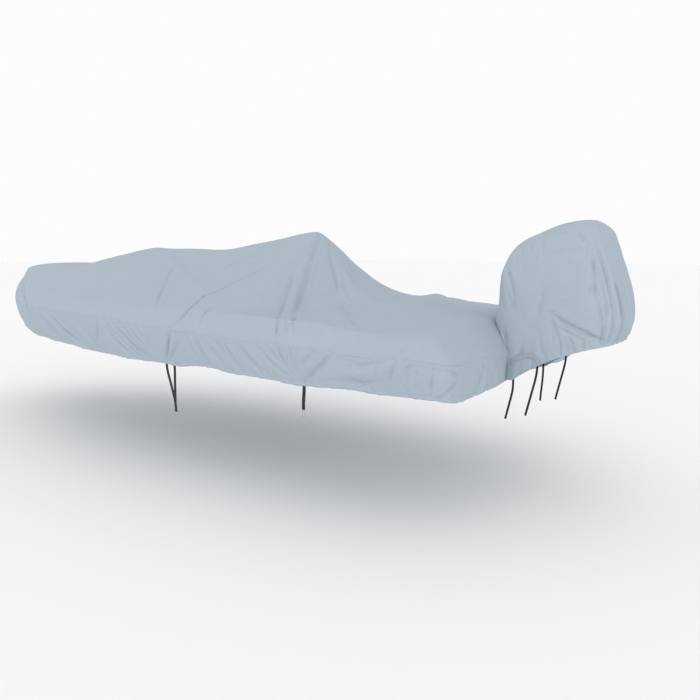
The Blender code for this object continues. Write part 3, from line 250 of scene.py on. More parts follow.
    ("big diagonal", (("Z", 0.705, 1.130, 1.080), ("Z", 0.719, 1.128, 1.050), ("Z", 0.758, 1.124, 0.993), ("Z", 0.800, 1.120, 0.950), ("Z", 0.861, 1.105, 0.901), ("Z", 0.957, 1.094, 0.812)), 0.024, 0.016, -0.0140, 0.3, 0.7, 1.3),
    ("big diagonal ridge", (("S", 0.81, 0.02, PORT), ("S", 0.87, 0.30, PORT), ("S", 0.93, 0.62, PORT)), 0.020, 0.024, 0.0070, 0.3, 0.5, 1.5),
    ("big diagonal second", (("S", 0.86, 0.02, PORT), ("S", 0.92, 0.30, PORT), ("S", 0.97, 0.55, PORT)), 0.014, 0.014, -0.011, 0.3, 0.3, 1.3),
    ("lump upper", (("Z", 0.620, 1.118, 0.945), ("Z", 0.551, 1.122, 0.953), ("Z", 0.486, 1.124, 0.970), ("Z", 0.420, 1.123, 0.985), ("Z", 0.338, 1.117, 1.000)), 0.014, 0.018, -0.0080, 0.3, 0.5, 1.4),
    ("lump", (("S", 0.62, 0.58, PORT), ("S", 0.50, 0.50, PORT), ("S", 0.41, 0.48, PORT)), 0.030, 0.030, 0.0110, 0.4, 0.3, 1.8),
    ("lump lower", (("S", 0.85, 0.84, PORT), ("S", 0.72, 0.78, PORT), ("S", 0.58, 0.82, PORT), ("Z", 0.450, 1.108, 0.869), ("Z", 0.378, 1.097, 0.879)), 0.014, 0.017, -0.0080, 0.4, 0.3, 1.4),
    ("aft upright one", (("Z", 0.295, 1.110, 1.030), ("Z", 0.308, 1.108, 1.014), ("Z", 0.332, 1.111, 0.965), ("Z", 0.357, 1.099, 0.904), ("Z", 0.385, 1.083, 0.845)), 0.014, 0.010, -0.0110, 0.4, 0.5, 1.2),
    ("aft upright one ridge", (("S", 0.36, 0.04, PORT), ("S", 0.40, 0.40, PORT), ("S", 0.46, 0.80, PORT)), 0.018, 0.024, 0.009, 0.3, 0.3, 1.6),
    ("aft upright a", (("S", 0.24, 0.04, PORT), ("S", 0.25, 0.40, PORT), ("S", 0.28, 0.90, PORT)), 0.010, 0.011, -0.0060, 0.4, 0.4, 1.3),
    ("aft upright b", (("S", 0.19, 0.04, PORT), ("S", 0.195, 0.40, PORT), ("S", 0.21, 0.80, PORT)), 0.009, 0.010, -0.0060, 0.4, 0.4, 1.3),
    ("aft upright two", (("Z", 0.094, 1.088, 0.985), ("Z", 0.100, 1.083, 0.950), ("Z", 0.106, 1.080, 0.922), ("Z", 0.118, 1.070, 0.860), ("Z", 0.126, 1.067, 0.820)), 0.008, 0.010, -0.0100, 0.7, 0.7, 1.2),
    ("stern fold one", (("Z", 0.004, 0.645, 0.945), ("Z", 0.002, 0.660, 0.900), ("Z", 0.002, 0.690, 0.850), ("Z", 0.002, 0.720, 0.800)), 0.010, 0.014, -0.0180, 0.5, 0.6, 1.2),
    ("stern fold one ridge", (("Z", 0.004, 0.600, 0.930), ("Z", 0.002, 0.610, 0.880), ("Z", 0.002, 0.640, 0.820)), 0.022, 0.022, 0.012, 0.4, 0.5, 1.5),
    ("stern fold two", (("Z", 0.000, 0.950, 0.900), ("Z", 0.015, 1.020, 0.868), ("Z", 0.050, 1.060, 0.835), ("Z", 0.090, 1.072, 0.812)), 0.012, 0.014, -0.0140, 0.5, 0.7, 1.2),
    ("stern fold three", (("Z", 0.020, 1.050, 0.972), ("Z", 0.004, 1.000, 0.945), ("Z", 0.002, 0.950, 0.925)), 0.011, 0.012, -0.011, 0.3, 0.3, 1.3),
    ("stern fold four", (("T", 0.47, 0.30), ("T", 0.46, 0.58), ("T", 0.47, 0.92)), 0.016, 0.018, -0.010, 0.2, 0.5, 1.4),
    # starboard
    ("stbd bow dart", (("B", 5.30, 0.50, STBD), ("S", 4.90, 0.05, STBD), ("S", 4.50, 0.50, STBD), ("S", 4.30, 0.95, STBD)), 0.040, 0.030, -0.013, 0.2, 0.5, 1.3),
    ("stbd bow diagonal", (("S", 4.04, 0.02, STBD), ("S", 3.80, 0.46, STBD), ("S", 3.58, 0.95, STBD)), 0.030, 0.024, -0.012, 0.2, 0.7, 1.3),
    ("stbd bow diagonal two", (("S", 3.60, 0.04, STBD), ("S", 3.42, 0.50, STBD), ("S", 3.26, 0.95, STBD)), 0.028, 0.022, -0.010, 0.2, 0.7, 1.3),
    ("stbd pucker", (("S", 3.05, 0.05, STBD), ("S", 3.08, 0.50, STBD), ("S", 3.12, 0.90, STBD)), 0.024, 0.022, -0.012, 0.5, 0.4, 1.3),
    ("stbd fan one", (("S", 2.70, 0.02, STBD), ("S", 2.50, 0.48, STBD), ("S", 2.34, 0.95, STBD)), 0.020, 0.018, -0.013, 0.4, 0.5, 1.2),
    ("stbd fan two", (("S", 2.56, 0.02, STBD), ("S", 2.42, 0.46, STBD), ("S", 2.31, 0.92, STBD)), 0.018, 0.016, -0.012, 0.4, 0.4, 1.2),
    ("stbd fan three", (("S", 2.42, 0.02, STBD), ("S", 2.34, 0.46, STBD), ("S", 2.29, 0.84, STBD)), 0.017, 0.014, -0.011, 0.4, 0.3, 1.2),
    ("stbd upright", (("B", 2.06, 0.85, STBD), ("S", 2.08, 0.20, STBD), ("S", 2.12, 0.55, STBD), ("S", 2.18, 0.95, STBD)), 0.024, 0.015, -0.018, 0.5, 0.6, 1.2),
    ("stbd diagonal one", (("S", 1.80, 0.08, STBD), ("S", 1.72, 0.50, STBD), ("S", 1.62, 0.90, STBD)), 0.028, 0.020, -0.011, 0.3, 0.4, 1.3),
    ("stbd diagonal two", (("S", 1.52, 0.08, STBD), ("S", 1.42, 0.50, STBD), ("S", 1.32, 0.88, STBD)), 0.026, 0.018, -0.011, 0.3, 0.4, 1.3),
    ("stbd diagonal three", (("S", 1.24, 0.04, STBD), ("S", 1.16, 0.45, STBD), ("S", 1.06, 0.85, STBD)), 0.022, 0.016, -0.012, 0.4, 0.4, 1.2),
    ("stbd big diagonal", (("S", 0.68, 0.04, STBD), ("S", 0.78, 0.40, STBD), ("S", 0.93, 0.92, STBD)), 0.020, 0.036, -0.022, 0.3, 0.7, 1.2),
    ("stbd lump", (("S", 0.74, 0.62, STBD), ("S", 0.58, 0.60, STBD)), 0.036, 0.036, 0.012, 0.4, 0.3, 1.8),
    ("stbd aft upright", (("S", 0.34, 0.06, STBD), ("S", 0.38, 0.50, STBD), ("S", 0.44, 0.92, STBD)), 0.016, 0.028, -0.017, 0.3, 0.5, 1.2),
    ("stbd aft upright two", (("S", 0.13, 0.06, STBD), ("S", 0.14, 0.50, STBD), ("S", 0.16, 0.92, STBD)), 0.024, 0.015, -0.014, 0.3, 0.5, 1.2),
    ("stbd stern one", (("T", -0.84, 0.20), ("T", -0.90, 0.60), ("T", -0.96, 0.92)), 0.018, 0.028, -0.014, 0.3, 0.5, 1.2),
    ("stbd stern two", (("T", -0.58, 0.12), ("T", -0.64, 0.50), ("T", -0.70, 0.90)), 0.016, 0.024, -0.014, 0.3, 0.5, 1.2),
    ("stbd stern three", (("T", -0.40, 0.05), ("T", -0.41, 0.50), ("T", -0.42, 0.90)), 0.016, 0.018, -0.011, 0.3, 0.4, 1.3),
)

# The free front edge of the hood, from the middle to port and down (s, t, z),
# and where it comes to lie on the stern cloth.
FOOT_COLUMNS = ("s", "t", "z", "to_s", "to_t", "to_z")
FOOT = (
    (0.112, 0.000, 1.200, 0.134, 0.000, 1.155),
    (0.112, 0.110, 1.200, 0.132, 0.116, 1.153),
    (0.105, 0.200, 1.200, 0.115, 0.206, 1.139),
    (0.076, 0.252, 1.190, 0.086, 0.260, 1.109),
    (0.046, 0.269, 1.168, 0.056, 0.284, 1.072),
    (0.020, 0.277, 1.110, 0.030, 0.300, 1.036),
    (-0.006, 0.281, 1.010, 0.006, 0.306, 0.990),
    (-0.014, 0.283, 0.900, -0.004, 0.304, 0.900),
    (-0.018, 0.283, 0.792, -0.008, 0.298, 0.792),
)

# Folds of the hood.
HOOD_FOLDS = (
    # front corner, port
    ("front fold one", (("Z", 0.055, 0.262, 1.520), ("Z", 0.042, 0.270, 1.477), ("Z", 0.016, 0.278, 1.433), ("Z", -0.009, 0.283, 1.355), ("Z", -0.018, 0.285, 1.268)), 0.009, 0.015, -0.013, 0.2, 0.3, 1.25),
    ("front fold ridge", (("Z", 0.080, 0.250, 1.540), ("Z", 0.064, 0.262, 1.420), ("Z", 0.040, 0.272, 1.280)), 0.016, 0.014, 0.006, 0.2, 0.3, 1.5),
    ("front fold two", (("Z", 0.024, 0.279, 1.333), ("Z", 0.002, 0.282, 1.279), ("Z", -0.030, 0.287, 1.215)), 0.010, 0.014, -0.008, 0.2, 0.3, 1.4),
    ("foot crease one", (("Z", 0.062, 0.285, 1.165), ("Z", 0.035, 0.290, 1.125), ("Z", 0.000, 0.293, 1.075), ("Z", -0.020, 0.291, 1.045)), 0.008, 0.009, -0.0050, 0.3, 0.3, 1.2),
    ("foot crease two", (("Z", 0.020, 0.279, 1.110), ("Z", -0.004, 0.283, 1.020), ("Z", -0.022, 0.285, 0.940)), 0.009, 0.011, -0.0070, 0.3, 0.3, 1.2),
    ("foot crease three", (("Z", -0.085, 0.288, 1.030), ("Z", -0.078, 0.288, 0.990), ("Z", -0.070, 0.288, 0.955)), 0.009, 0.012, -0.009, 0.4, 0.3, 1.2),
    ("side dent", (("Z", -0.203, 0.296, 1.365), ("Z", -0.188, 0.296, 1.295), ("Z", -0.166, 0.295, 1.205)), 0.018, 0.016, -0.011, 0.3, 0.4, 1.4),
    ("side dent top", (("Z", -0.160, 0.296, 1.372), ("Z", -0.190, 0.296, 1.392), ("Z", -0.225, 0.297, 1.398)), 0.012, 0.014, -0.005, 0.3, 0.3, 1.5),
    # the body inside presses its rounded outline through
    ("inside edge top", (("Z", -0.170, 0.276, 1.545), ("Z", -0.220, 0.278, 1.578), ("Z", -0.300, 0.276, 1.598), ("Z", -0.380, 0.272, 1.603), ("Z", -0.450, 0.258, 1.598)), 0.020, 0.030, -0.006, 0.2, 0.7, 1.4),
    ("inside edge back high", (("Z", -0.455, 0.262, 1.590), ("Z", -0.476, 0.260, 1.550), ("Z", -0.490, 0.262, 1.500)), 0.016, 0.022, -0.008, 0.5, 1.0, 1.3),
    ("inside edge back", (("Z", -0.482, 0.262, 1.545), ("Z", -0.488, 0.264, 1.503), ("Z", -0.486, 0.270, 1.454), ("Z", -0.494, 0.270, 1.388), ("Z", -0.490, 0.274, 1.310)), 0.012, 0.018, -0.0140, 0.8, 0.3, 1.3),
    ("inside edge back hook", (("Z", -0.486, 0.270, 1.395), ("Z", -0.470, 0.276, 1.376), ("Z", -0.462, 0.280, 1.350)), 0.010, 0.010, -0.010, 0.5, 0.3, 1.3),
    ("inside edge low", (("Z", -0.130, 0.292, 1.250), ("Z", -0.200, 0.294, 1.278), ("Z", -0.320, 0.296, 1.284), ("Z", -0.430, 0.291, 1.285)), 0.024, 0.016, -0.005, 0.3, 0.3, 1.5),
    # the fullness gathered at the back
    ("gather one", (("Z", -0.459, 0.200, 1.677), ("Z", -0.492, 0.212, 1.590), ("Z", -0.525, 0.216, 1.511), ("Z", -0.555, 0.218, 1.444), ("Z", -0.574, 0.218, 1.365), ("Z", -0.588, 0.216, 1.291), ("Z", -0.594, 0.212, 1.229), ("Z", -0.585, 0.208, 1.120), ("Z", -0.572, 0.204, 1.075)), 0.010, 0.014, -0.016, 0.3, 0.8, 1.2),
    ("gather one ridge", (("Z", -0.480, 0.200, 1.670), ("Z", -0.545, 0.206, 1.560), ("Z", -0.585, 0.200, 1.420), ("Z", -0.600, 0.188, 1.240), ("Z", -0.596, 0.176, 1.090)), 0.024, 0.022, 0.014, 0.3, 0.6, 1.5),
    ("gather two", (("Z", -0.505, 0.130, 1.690), ("Z", -0.575, 0.140, 1.580), ("Z", -0.608, 0.148, 1.440), ("Z", -0.622, 0.142, 1.300), ("Z", -0.622, 0.130, 1.190), ("Z", -0.602, 0.120, 1.075)), 0.012, 0.020, -0.021, 0.2, 0.8, 1.2),
    ("gather two ridge", (("Z", -0.560, 0.095, 1.650), ("Z", -0.605, 0.100, 1.560), ("Z", -0.628, 0.100, 1.400), ("Z", -0.640, 0.092, 1.240), ("Z", -0.618, 0.085, 1.085)), 0.026, 0.026, 0.012, 0.3, 0.6, 1.6),
    ("gather three", (("Z", -0.585, 0.030, 1.610), ("Z", -0.622, 0.030, 1.500), ("Z", -0.636, 0.028, 1.340), ("Z", -0.630, 0.030, 1.160), ("Z", -0.612, 0.030, 1.080)), 0.015, 0.020, -0.018, 0.2, 0.8, 1.25),
    ("gather four", (("Z", -0.500, 0.262, 1.330), ("Z", -0.530, 0.258, 1.230), ("Z", -0.545, 0.246, 1.140), ("Z", -0.540, 0.238, 1.062)), 0.014, 0.018, -0.014, 0.2, 0.8, 1.25),
    ("gather four ridge", (("Z", -0.520, 0.254, 1.300), ("Z", -0.555, 0.240, 1.190), ("Z", -0.560, 0.226, 1.080)), 0.016, 0.016, 0.009, 0.2, 0.6, 1.5),
    # low folds, port side
    ("low fold one", (("Z", -0.245, 0.293, 1.236), ("Z", -0.284, 0.292, 1.217), ("Z", -0.325, 0.290, 1.184), ("Z", -0.373, 0.288, 1.155), ("Z", -0.420, 0.284, 1.128)), 0.020, 0.013, -0.0130, 0.3, 0.5, 1.35),
    ("low fold one ridge", (("Z", -0.250, 0.294, 1.262), ("Z", -0.330, 0.293, 1.216), ("Z", -0.420, 0.288, 1.178), ("Z", -0.490, 0.275, 1.150)), 0.022, 0.022, 0.007, 0.3, 0.4, 1.7),
    ("low fold two", (("Z", -0.300, 0.291, 1.146), ("Z", -0.380, 0.287, 1.110), ("Z", -0.450, 0.280, 1.076)), 0.014, 0.012, -0.011, 0.3, 0.6, 1.25),
    ("low fold three", (("Z", -0.405, 0.286, 1.133), ("Z", -0.440, 0.282, 1.120), ("Z", -0.485, 0.274, 1.108), ("Z", -0.548, 0.246, 1.086)), 0.009, 0.012, -0.014, 0.4, 0.6, 1.2),
    ("low fold four", (("Z", -0.253, 0.295, 1.211), ("Z", -0.285, 0.291, 1.125), ("Z", -0.305, 0.288, 1.060)), 0.012, 0.015, -0.008, 0.3, 0.4, 1.4),
    ("hem pucker one", (("Z", -0.306, 0.291, 1.092), ("Z", -0.312, 0.288, 1.040), ("Z", -0.314, 0.282, 0.985)), 0.008, 0.012, -0.011, 0.3, 0.8, 1.2),
    ("hem pucker two", (("Z", -0.361, 0.288, 1.105), ("Z", -0.375, 0.285, 1.070), ("Z", -0.390, 0.278, 1.020)), 0.009, 0.012, -0.011, 0.3, 0.8, 1.2),
    ("hem pucker three", (("Z", -0.352, 0.289, 1.070), ("Z", -0.360, 0.283, 1.000)), 0.008, 0.009, -0.006, 0.3, 0.8, 1.3),
    ("hem pucker four", (("Z", -0.470, 0.276, 1.080), ("Z", -0.480, 0.262, 1.036)), 0.009, 0.010, -0.008, 0.3, 0.8, 1.3),
    ("low fine a", (("Z", -0.330, 0.291, 1.190), ("Z", -0.400, 0.287, 1.150), ("Z", -0.470, 0.278, 1.128)), 0.008, 0.009, -0.007, 0.3, 0.4, 1.3),
    ("low fine b", (("Z", -0.420, 0.285, 1.150), ("Z", -0.470, 0.277, 1.120), ("Z", -0.520, 0.262, 1.098)), 0.007, 0.008, -0.008, 0.3, 0.4, 1.3),
    ("low fine c", (("Z", -0.255, 0.292, 1.170), ("Z", -0.262, 0.291, 1.110), ("Z", -0.275, 0.289, 1.050)), 0.008, 0.009, -0.006, 0.3, 0.4, 1.3),
    ("low fine d", (("Z", -0.340, 0.290, 1.110), ("Z", -0.338, 0.288, 1.060), ("Z", -0.345, 0.283, 1.000)), 0.007, 0.008, -0.006, 0.3, 0.5, 1.3),
    ("low fine e", (("Z", -0.440, 0.283, 1.090), ("Z", -0.446, 0.280, 1.060), ("Z", -0.452, 0.272, 1.030)), 0.007, 0.008, -0.007, 0.3, 0.5, 1.3),
    ("low fine f", (("Z", -0.190, 0.293, 1.120), ("Z", -0.196, 0.291, 1.050), ("Z", -0.200, 0.288, 0.970)), 0.008, 0.010, -0.006, 0.3, 0.4, 1.3),
    ("back fine a", (("Z", -0.500, 0.255, 1.533), ("Z", -0.528, 0.245, 1.449), ("Z", -0.550, 0.240, 1.364), ("Z", -0.561, 0.238, 1.292), ("Z", -0.558, 0.240, 1.219), ("Z", -0.548, 0.236, 1.147)), 0.010, 0.013, -0.013, 0.3, 0.6, 1.25),
    ("back fine b", (("Z", -0.590, 0.170, 1.500), ("Z", -0.606, 0.166, 1.380), ("Z", -0.612, 0.158, 1.220)), 0.008, 0.010, -0.008, 0.3, 0.4, 1.3),
    ("back fine c", (("Z", -0.620, 0.068, 1.480), ("Z", -0.632, 0.066, 1.330), ("Z", -0.626, 0.062, 1.150)), 0.009, 0.010, -0.008, 0.3, 0.4, 1.3),
    ("back fine d", (("Z", -0.470, 0.246, 1.640), ("Z", -0.505, 0.250, 1.560), ("Z", -0.520, 0.252, 1.470)), 0.009, 0.010, -0.008, 0.3, 0.4, 1.3),
    ("shoulder fine a", (("Z", -0.060, 0.200, 1.672), ("Z", -0.085, 0.236, 1.636), ("Z", -0.100, 0.262, 1.590)), 0.009, 0.010, -0.007, 0.3, 0.3, 1.3),
    ("shoulder fine b", (("Z", -0.010, 0.196, 1.650), ("Z", -0.030, 0.232, 1.612), ("Z", -0.040, 0.262, 1.560)), 0.009, 0.010, -0.006, 0.3, 0.3, 1.3),
    ("shoulder fine c", (("Z", -0.150, 0.206, 1.700), ("Z", -0.160, 0.244, 1.650), ("Z", -0.165, 0.270, 1.596)), 0.009, 0.010, -0.006, 0.3, 0.3, 1.3),
    ("shoulder fine d", (("Z", -0.353, 0.205, 1.711), ("Z", -0.385, 0.220, 1.681), ("Z", -0.411, 0.235, 1.653)), 0.008, 0.009, -0.010, 0.3, 0.3, 1.3),
    ("hem pucker five", (("Z", -0.215, 0.292, 1.010), ("Z", -0.225, 0.289, 0.945)), 0.009, 0.010, -0.006, 0.3, 0.8, 1.3),
    # top
    ("top fold one", (("Z", -0.330, 0.120, 1.800), ("Z", -0.400, 0.150, 1.790), ("Z", -0.450, 0.190, 1.740), ("Z", -0.480, 0.222, 1.680)), 0.018, 0.024, -0.008, 0.2, 0.6, 1.4),
    ("top fold two", (("Z", -0.400, 0.060, 1.800), ("Z", -0.470, 0.085, 1.770), ("Z", -0.530, 0.115, 1.700)), 0.018, 0.024, -0.008, 0.2, 0.6, 1.4),
    # starboard
    ("stbd front fold", (("Z", 0.040, -0.270, 1.490), ("Z", -0.010, -0.282, 1.300), ("Z", -0.050, -0.286, 1.160)), 0.020, 0.014, -0.010, 0.2, 0.3, 1.3),
    ("stbd foot crease", (("Z", 0.040, -0.270, 1.190), ("Z", -0.010, -0.282, 1.090), ("Z", -0.050, -0.286, 1.040)), 0.014, 0.014, -0.011, 0.3, 0.3, 1.2),
    ("stbd inside edge", (("Z", -0.470, -0.264, 1.560), ("Z", -0.490, -0.266, 1.420), ("Z", -0.480, -0.276, 1.290)), 0.020, 0.013, -0.014, 0.5, 0.5, 1.25),
    ("stbd gather one", (("Z", -0.480, -0.215, 1.660), ("Z", -0.548, -0.226, 1.480), ("Z", -0.580, -0.214, 1.250), ("Z", -0.570, -0.206, 1.080)), 0.026, 0.017, -0.019, 0.2, 0.8, 1.2),
    ("stbd gather ridge", (("Z", -0.530, -0.180, 1.620), ("Z", -0.592, -0.184, 1.440), ("Z", -0.604, -0.170, 1.240), ("Z", -0.592, -0.160, 1.090)), 0.024, 0.024, 0.013, 0.3, 0.6, 1.5),
    ("stbd gather two", (("Z", -0.540, -0.110, 1.660), ("Z", -0.608, -0.118, 1.480), ("Z", -0.628, -0.112, 1.280), ("Z", -0.606, -0.100, 1.080)), 0.028, 0.018, -0.019, 0.2, 0.8, 1.2),
    ("stbd low fold", (("Z", -0.240, -0.293, 1.230), ("Z", -0.340, -0.291, 1.180), ("Z", -0.450, -0.284, 1.130)), 0.016, 0.022, -0.014, 0.3, 0.6, 1.2),
    ("stbd low fold two", (("Z", -0.280, -0.292, 1.120), ("Z", -0.380, -0.287, 1.080), ("Z", -0.440, -0.281, 1.060)), 0.012, 0.014, -0.009, 0.3, 0.6, 1.3),
)


# ---------------------------------------------------------- shape functions
def table(rows):
    return {name: np.array([row[i] for row in rows]) for i, name in enumerate(COLUMNS)}


def smooth(values, at):
    """A curve through equally spaced knots that never overshoots a turn."""
    v = np.asarray(values, float)
    i = np.clip(np.floor(at).astype(int), 0, len(v) - 2)
    f = at - i
    m = np.gradient(v)
    d = np.diff(v)
    for k in range(1, len(v) - 1):
        if d[k - 1] * d[k] <= 0:
            m[k] = 0.0
        else:
            m[k] = np.sign(m[k]) * min(abs(m[k]), 2.5 * min(abs(d[k - 1]), abs(d[k])))
    h00 = 2 * f**3 - 3 * f**2 + 1
    h10 = f**3 - 2 * f**2 + f
    h01 = -2 * f**3 + 3 * f**2
    h11 = f**3 - f**2
    return h00 * v[i] + h10 * m[i] + h01 * v[i + 1] + h11 * m[i + 1]


def blur(values, sigma):
    """Gaussian blur of a run of samples; the ends are held."""
    r = int(3 * sigma) + 1
    k = np.exp(-0.5 * (np.arange(-r, r + 1) / sigma) ** 2)
    return np.convolve(np.pad(values, r, mode="edge"), k / k.sum(), mode="valid")


def rise_to(x, a, b):
    """0 before a, 1 after b, with a smooth slope between."""
    u = np.clip((x - a) / (b - a), 0, 1)
    return u * u * (3 - 2 * u)


class Bag:
    """The smooth surface of a bag of cloth worked out from its stations."""

    def __init__(self, rows, fine=0.002, corner=0.014, wide=0.075, round_off=0.0, ends=None, soft_near=0.05, soft_far=0.05):
        self.t = table(rows)
        self.last = len(rows) - 1
        self.soft_near, self.soft_far = soft_near, soft_far
        at = np.linspace(0, self.last, 80 * self.last + 1)
        s, b = smooth(self.t["s"], at), smooth(self.t["beam"], at)
        # half outline at the rail: front centre, round the port side, back centre
        n0, n1 = max(4, int(b[0] / 0.002)), max(4, int(b[-1] / 0.002))
        front = np.column_stack([np.full(n0, s[0]), np.linspace(0, b[0], n0, endpoint=False)])
        back = np.column_stack([np.full(n1, s[-1]), np.linspace(b[-1], 0, n1 + 1)[1:]])
        line = np.vstack([front, np.column_stack([s, b]), back])
        h = np.concatenate([[0], np.cumsum(np.hypot(*np.diff(line, axis=0).T))])
        self.length = h[-1]
        self.h_side = (at, h[n0:n0 + len(at)])
        grid = np.linspace(0, self.length, int(self.length / fine) + 1)
        x, y = np.interp(grid, h, line[:, 0]), np.interp(grid, h, line[:, 1])
        # mirrored at both centres, so the turn there is even
        pad = min(160, len(x) - 2)
        mirror = lambda x, y: (np.concatenate([x[pad:0:-1], x, x[-2:-2 - pad:-1]]), np.concatenate([-y[pad:0:-1], y, -y[-2:-2 - pad:-1]]))
        X, Y = mirror(x, y)
        if round_off:
            x, y = blur(X, round_off / fine)[pad:-pad], blur(Y, round_off / fine)[pad:-pad]
            y[0] = y[-1] = 0.0
            h, line = grid, np.column_stack([x, y])
            X, Y = mirror(x, y)

        def plan(reach):
            tx, ty = blur(np.gradient(X), reach / fine), blur(np.gradient(Y), reach / fine)
            size = np.hypot(tx, ty) + 1e-12
            return (ty / size)[pad:-pad], (-tx / size)[pad:-pad]

        self.grid = grid
        self.nx, self.ny = plan(corner)
        self.wx, self.wy = plan(wide)
        self.ends = ends
        self.line_h, self.line_xy = h, line

    def col(self, name, at):
        return smooth(self.t[name], at)

    def at_s(self, s):
        """Station number of a distance s."""
        at, _ = self.h_side
        return np.interp(-np.asarray(s, float), -smooth(self.t["s"], at), at)

    def h_of(self, at, f):
        """Way round the outline of a point on the rim of the station grid."""
        side = np.interp(at, *self.h_side)
        front = np.abs(f) * self.t["beam"][0]
        back = self.length - np.abs(f) * self.t["beam"][-1]
        h = np.where(at <= 1e-9, front, np.where(at >= self.last - 1e-9, back, side))
        return h

    def rail_xy(self, h):
        return np.interp(h, self.line_h, self.line_xy[:, 0]), np.interp(h, self.line_h, self.line_xy[:, 1])

    def normal(self, h):
        nx, ny = np.interp(h, self.grid, self.nx), np.interp(h, self.grid, self.ny)
        size = np.hypot(nx, ny) + 1e-12
        return nx / size, ny / size

    def lean(self, h):
        """Plan direction of the lap: it turns more slowly than the outline."""
        nx, ny = np.interp(h, self.grid, self.wx), np.interp(h, self.grid, self.wy)
        size = np.hypot(nx, ny) + 1e-12
        return nx / size, ny / size

    def crown(self, f, full, at):
        near = np.exp(-((at - self.at_s(1.74)) / 1.6) ** 2) if self.soft_near != self.soft_far else 1.0
        c = self.soft_far + (self.soft_near - self.soft_far) * near
        soft = (np.hypot(f, c) - c) / (np.hypot(1, c) - c)
        return np.where(full >= 1, 1 - soft ** np.maximum(full, 1), (1 - soft) ** (1 / np.minimum(full, 1)))

    def edge(self, at):
        """The port rim of the top: x, half breadth and height."""
        h = np.interp(at, *self.h_side)
        nx, ny = self.lean(h)
        lap = self.col("lap", at)
        return self.col("s", at) - lap * nx, self.col("beam", at) - lap * ny, self.col("edge", at)

    def middle(self, at):
        """Where the rows cross the centre line: drawn in at both ends by the lap."""
        s = self.col("s", at)
        if not self.ends:
            return self.edge(at)[0]
        fore, aft = self.ends
        s0, s1 = self.t["s"][0], self.t["s"][-1]
        front, back = s0 - self.t["lap"][0], s1 + self.t["lap"][-1]
        s = np.where(s > fore, fore + (s - fore) * (front - fore) / (s0 - fore), s)
        return np.where(s < aft, aft + (s - aft) * (back - aft) / (s1 - aft), s)

    def top(self, at, f):
        x, y, z = self.edge(at)
        mid = self.col("mid", at)
        z = z + (mid - z) * self.crown(np.abs(f), self.col("full", at), at)
        share = np.abs(f) ** 4
        return np.column_stack([x * share + self.middle(at) * (1 - share), f * y, z])

    def band(self, at, f, share):
        """Rim of the top down to the rail; share is 0 at the top, 1 at the rail."""
        h = self.h_of(at, f)
        side = np.where(f >= 0, 1.0, -1.0)
        rx, ry = self.rail_xy(h)
        nx, ny = self.lean(h)
        lap, edge, rail = self.col("lap", at), self.col("edge", at), self.col("rail", at)
        mid, full = self.col("mid", at), self.col("full", at)
        end = (np.abs(f) < 1 - 1e-9)
        # over the ends of the bag the top is crowned, so the band starts there
        head = np.where(end, edge + (mid - edge) * self.crown(np.abs(f), full, at), edge)

        # the bow is fuller below its rim than the sides
        turn = 1.5 + 0.9 * rise_to(self.col("s", at), 5.1, 5.6)

        def point(sh):
            inn = lap * np.clip(1 - sh, 0, 1) ** turn
            return np.column_stack([rx - inn * nx, side * (ry - inn * ny), head + (rail - head) * sh])

        start = self.top(at, f)
        gap = start - point(np.zeros_like(share))
        return point(share) + gap * (np.clip(1 - share, 0, 1) ** 3)[:, None]

    def skirt(self, h, side, at, share, inside=0.0, drop=0.0):
        """Rail down to the hem; share is 0 at the rail and 1 at the hem."""
        rx, ry = self.rail_xy(h)
        nx, ny = self.normal(h)
        rail, hem, tuck = self.col("rail", at), self.col("hem", at), self.col("tuck", at)
        inn = tuck * np.clip(share, 0, None) ** 1.6 + inside
        return np.column_stack([rx - inn * nx, side * (ry - inn * ny), rail + (hem - rail) * share - drop])

    def at_h(self, h):
        """Station number of a place on the outline."""
        at, hs = self.h_side
        return np.interp(h, hs, at)


def place(kind, a, b, c=None):
    """A point of a fold's path, in s, t, z."""
    one = lambda x: np.array([float(x)])
    if kind == "Z":
        return np.array([a, b, c], float)
    if kind == "D":
        at = one(cover.at_s(a))
        for _ in range(8):                       # a row's x differs a little from its s
            f = np.clip(b / cover.edge(at)[1], -1, 1)
            x = cover.top(at, f)[0][0]
            at = np.clip(at + (cover.at_s(a) - cover.at_s(x)), 0, cover.last)
        f = np.clip(b / cover.edge(at)[1], -1, 1)
        return cover.top(at, f)[0]
    if kind == "B":
        return cover.band(one(cover.at_s(a)), one(c if c else 1.0), one(b))[0]
    if kind == "S":
        at = one(cover.at_s(a))
        return cover.skirt(np.interp(at, *cover.h_side), one(c), at, one(b))[0]
    if kind == "T":
        h = one(cover.length - abs(a))
        return cover.skirt(h, one(1.0 if a >= 0 else -1.0), one(cover.last), one(b))[0]
    raise ValueError(kind)


def curve_through(points, count=36):
    """A smooth line through a few points, and its length measure from 0 to 1."""
    p = np.array(points, float)
    d = np.concatenate([[0], np.cumsum(np.linalg.norm(np.diff(p, axis=0), axis=1))])
    u = np.linspace(0, d[-1], count)
    if len(p) == 2:
        return np.column_stack([np.interp(u, d, p[:, k]) for k in range(3)]), u / d[-1]
    m = np.zeros_like(p)
    for i in range(len(p)):
        a, b = max(0, i - 1), min(len(p) - 1, i + 1)
        m[i] = (p[b] - p[a]) / (d[b] - d[a])
    i = np.clip(np.searchsorted(d, u, side="right") - 1, 0, len(p) - 2)
    w = d[i + 1] - d[i]
    f = ((u - d[i]) / w)[:, None]
    w = w[:, None]
    out = (2 * f**3 - 3 * f**2 + 1) * p[i] + (f**3 - 2 * f**2 + f) * w * m[i] + (-2 * f**3 + 3 * f**2) * p[i + 1] + (f**3 - f**2) * w * m[i + 1]
    return out, u / d[-1]


